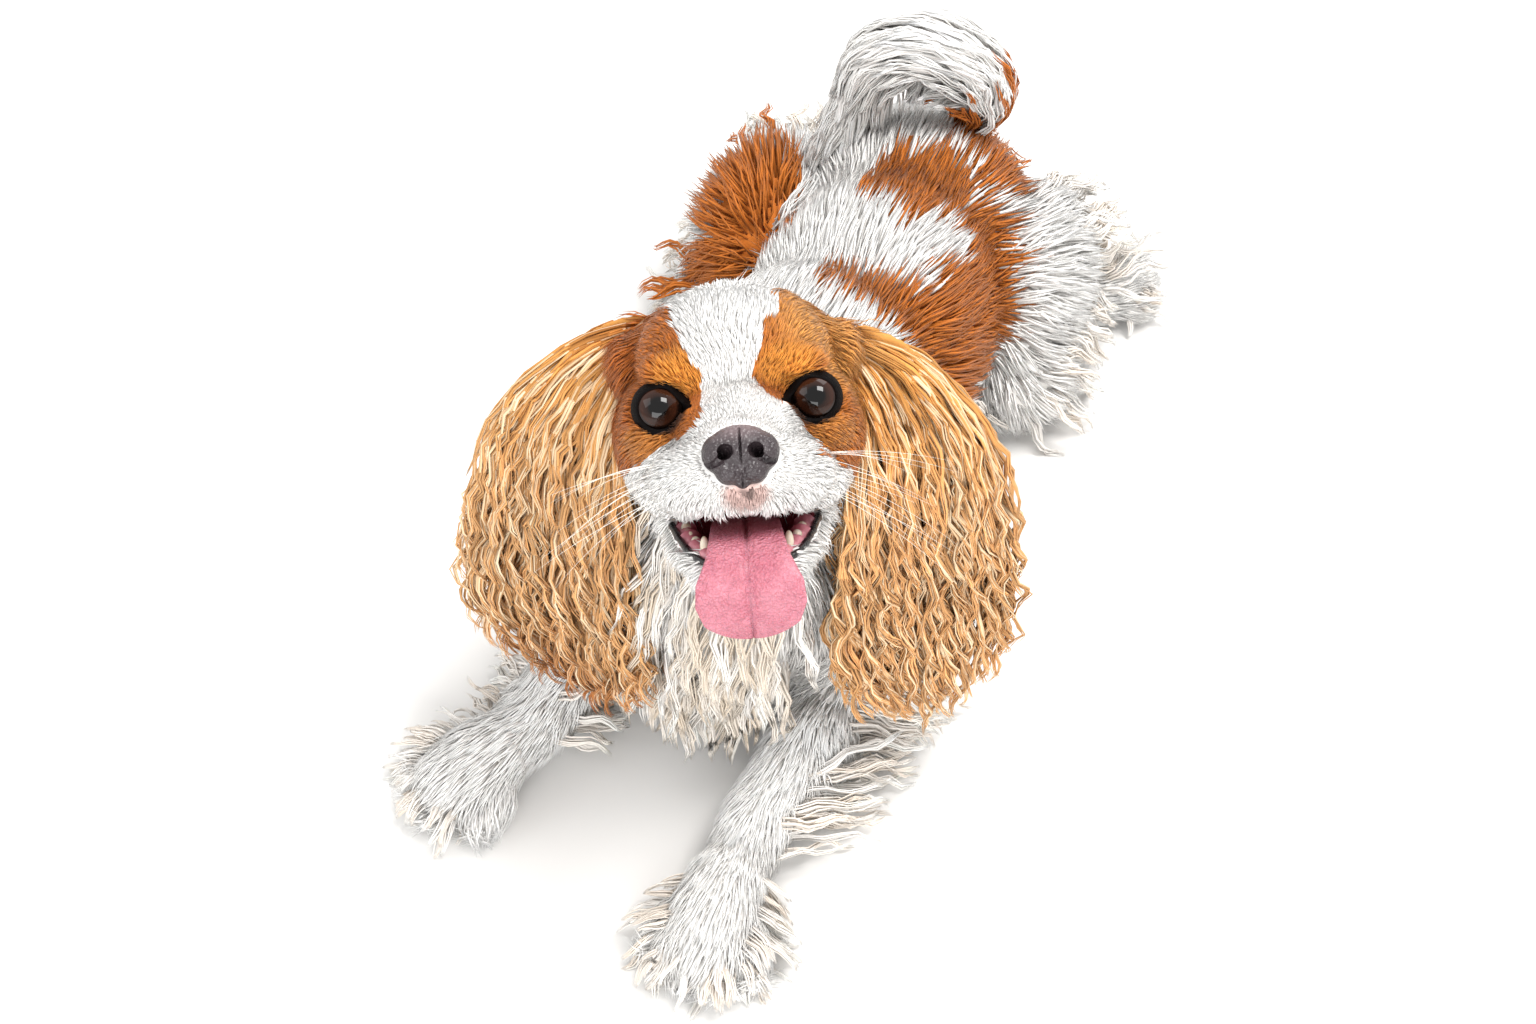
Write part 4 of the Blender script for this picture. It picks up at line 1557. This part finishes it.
def buildTeeth():
    mesh = bmesh.new()
    shares = (0.05, 0.12, 0.19, 0.26, 0.34, 0.42, 0.47, 0.53, 0.58, 0.66, 0.74, 0.81, 0.88, 0.95)
    for share in shares:
        place, _ = onLine(gumLine, share)
        canine = share in (0.34, 0.66)
        height = 0.62 if canine else 0.32
        width = 0.2 if canine else (0.14 if 0.4 < share < 0.6 else 0.22)
        spot = bodyTransform(headMatrix) @ Matrix.Translation(Vector(place[0]) + Vector((0, 0,
                                                                                         0.14 + height / 3)))
        bmesh.ops.create_uvsphere(mesh, u_segments=14, v_segments=10, radius=1,
                                  matrix=spot @ Matrix.Diagonal((width, width * 1.1, height * 0.75, 1)))
    item = meshObject("teeth_enamel", mesh)
    item.data.shade_smooth()
    dressPiece(item, enamelMaterial(), "teeth", "teeth_lower")


buildTeeth()

# Whiskers
whiskers = {"each": 15, "rings": 14, "radius": 0.014}


def growWhiskers():
    rings, colours = [], []
    steps = whiskers["rings"]
    for sign in (1, -1):
        for index in range(whiskers["each"]):
            row, column = divmod(index, 5)
            root = np.array((sign * (2.4 + 0.32 * column), -2.6 + 0.55 * column, -2.3 - 0.55 * row))
            way = np.array((sign * (1.0 + 0.1 * row), -0.35 + 0.22 * column, -0.05 - 0.22 * row))
            way = unit((way + dice.normal(0, 0.08, 3))[None])[0]
            length = dice.uniform(4.0, 7.2)
            share = np.linspace(0, 1, steps)[:, None]
            bend = np.array((0, 0.25, -0.32)) * length * dice.uniform(0.4, 1.1)
            rings.append(placeBy(headMatrix, root - way * 0.15 + way * length * share + bend * share ** 2))
            colours.append(np.tile(linear("#F4F0E8"), (steps, 1)))
    rings = np.array(rings)
    count = len(rings)
    across = np.broadcast_to(turnBy(headMatrix, (0, 0, 1)), rings.shape)
    share = np.linspace(0, 1, steps)
    sizes = np.repeat((whiskers["radius"] * (1 - share * 0.8))[None], count, axis=0)
    strandPiece("whiskers", "white_coat", rings, across, sizes, sizes * 1.6, np.array(colours),
                patchesAt(rings[:, 0]))


growWhiskers()


# Camera, floor and light
photoView = {"place": (27.68, -62.58, 108.93), "height": 52.48, "turn": 20.9, "lens": 2520 * 36 / 1536}


def addCamera():
    data = bpy.data.cameras.new("camera")
    data.lens = photoView["lens"]
    data.sensor_width = 36
    data.clip_start = 0.01
    data.dof.use_dof = False
    camera = bpy.data.objects.new("camera", data)
    bpy.context.scene.collection.objects.link(camera)
    height, turn = math.radians(photoView["height"]), math.radians(photoView["turn"])
    back = Vector((math.sin(turn) * math.cos(height), -math.cos(turn) * math.cos(height), math.sin(height)))
    right = Vector((math.cos(turn), math.sin(turn), 0))
    axes = Matrix((right, back.cross(right), back)).transposed().to_4x4()
    axes.translation = Vector(np.array(photoView["place"]) * 0.01 + bodyShift)
    camera.matrix_world = axes
    bpy.context.scene.camera = camera


def addLight(name, place, aim, power, size, colour=(1, 1, 1)):
    data = bpy.data.lights.new(name, "AREA")
    data.energy = power
    data.shape = "RECTANGLE"
    data.size, data.size_y = size
    data.color = colour
    light = bpy.data.objects.new(name, data)
    bpy.context.scene.collection.objects.link(light)
    light.location = place
    light.rotation_euler = (Vector(aim) - Vector(place)).to_track_quat("-Z", "Y").to_euler()


def addFloor():
    mesh = bmesh.new()
    bmesh.ops.create_grid(mesh, x_segments=2, y_segments=2, size=6)
    floor = meshObject("floor", mesh)
    material, _, _ = newMaterial("paleStudioPaper", {"Base Color": rgba("#E4E3E1"), "Roughness": 0.9})
    floor.data.materials.append(material)


def addWorld():
    world = bpy.data.worlds.new("studio")
    world.use_nodes = True
    background = world.node_tree.nodes["Background"]
    background.inputs["Color"].default_value = (1.0, 1.0, 1.0, 1)
    background.inputs["Strength"].default_value = 0.93
    bpy.context.scene.world = world


addCamera()
addFloor()
addWorld()
bpy.context.scene.view_settings.view_transform = "Standard"
windowSpot = placeBy(headMatrix, np.array((0.40, -0.69, 0.57)) * 170) * 0.01
addLight("window", windowSpot, (0, 0, 0.2), 32, (0.72, 0.82), (1.0, 0.98, 0.96))
addLight("front", (0.35, -1.75, 0.7), (0, -0.05, 0.08), 21, (1.4, 0.9))
addLight("fill", (-1.5, -0.6, 1.4), (0, 0, 0.15), 8, (1.2, 1.2))
addLight("rim", (0.2, 1.8, 1.6), (0, 0, 0.15), 10, (1.4, 0.8))
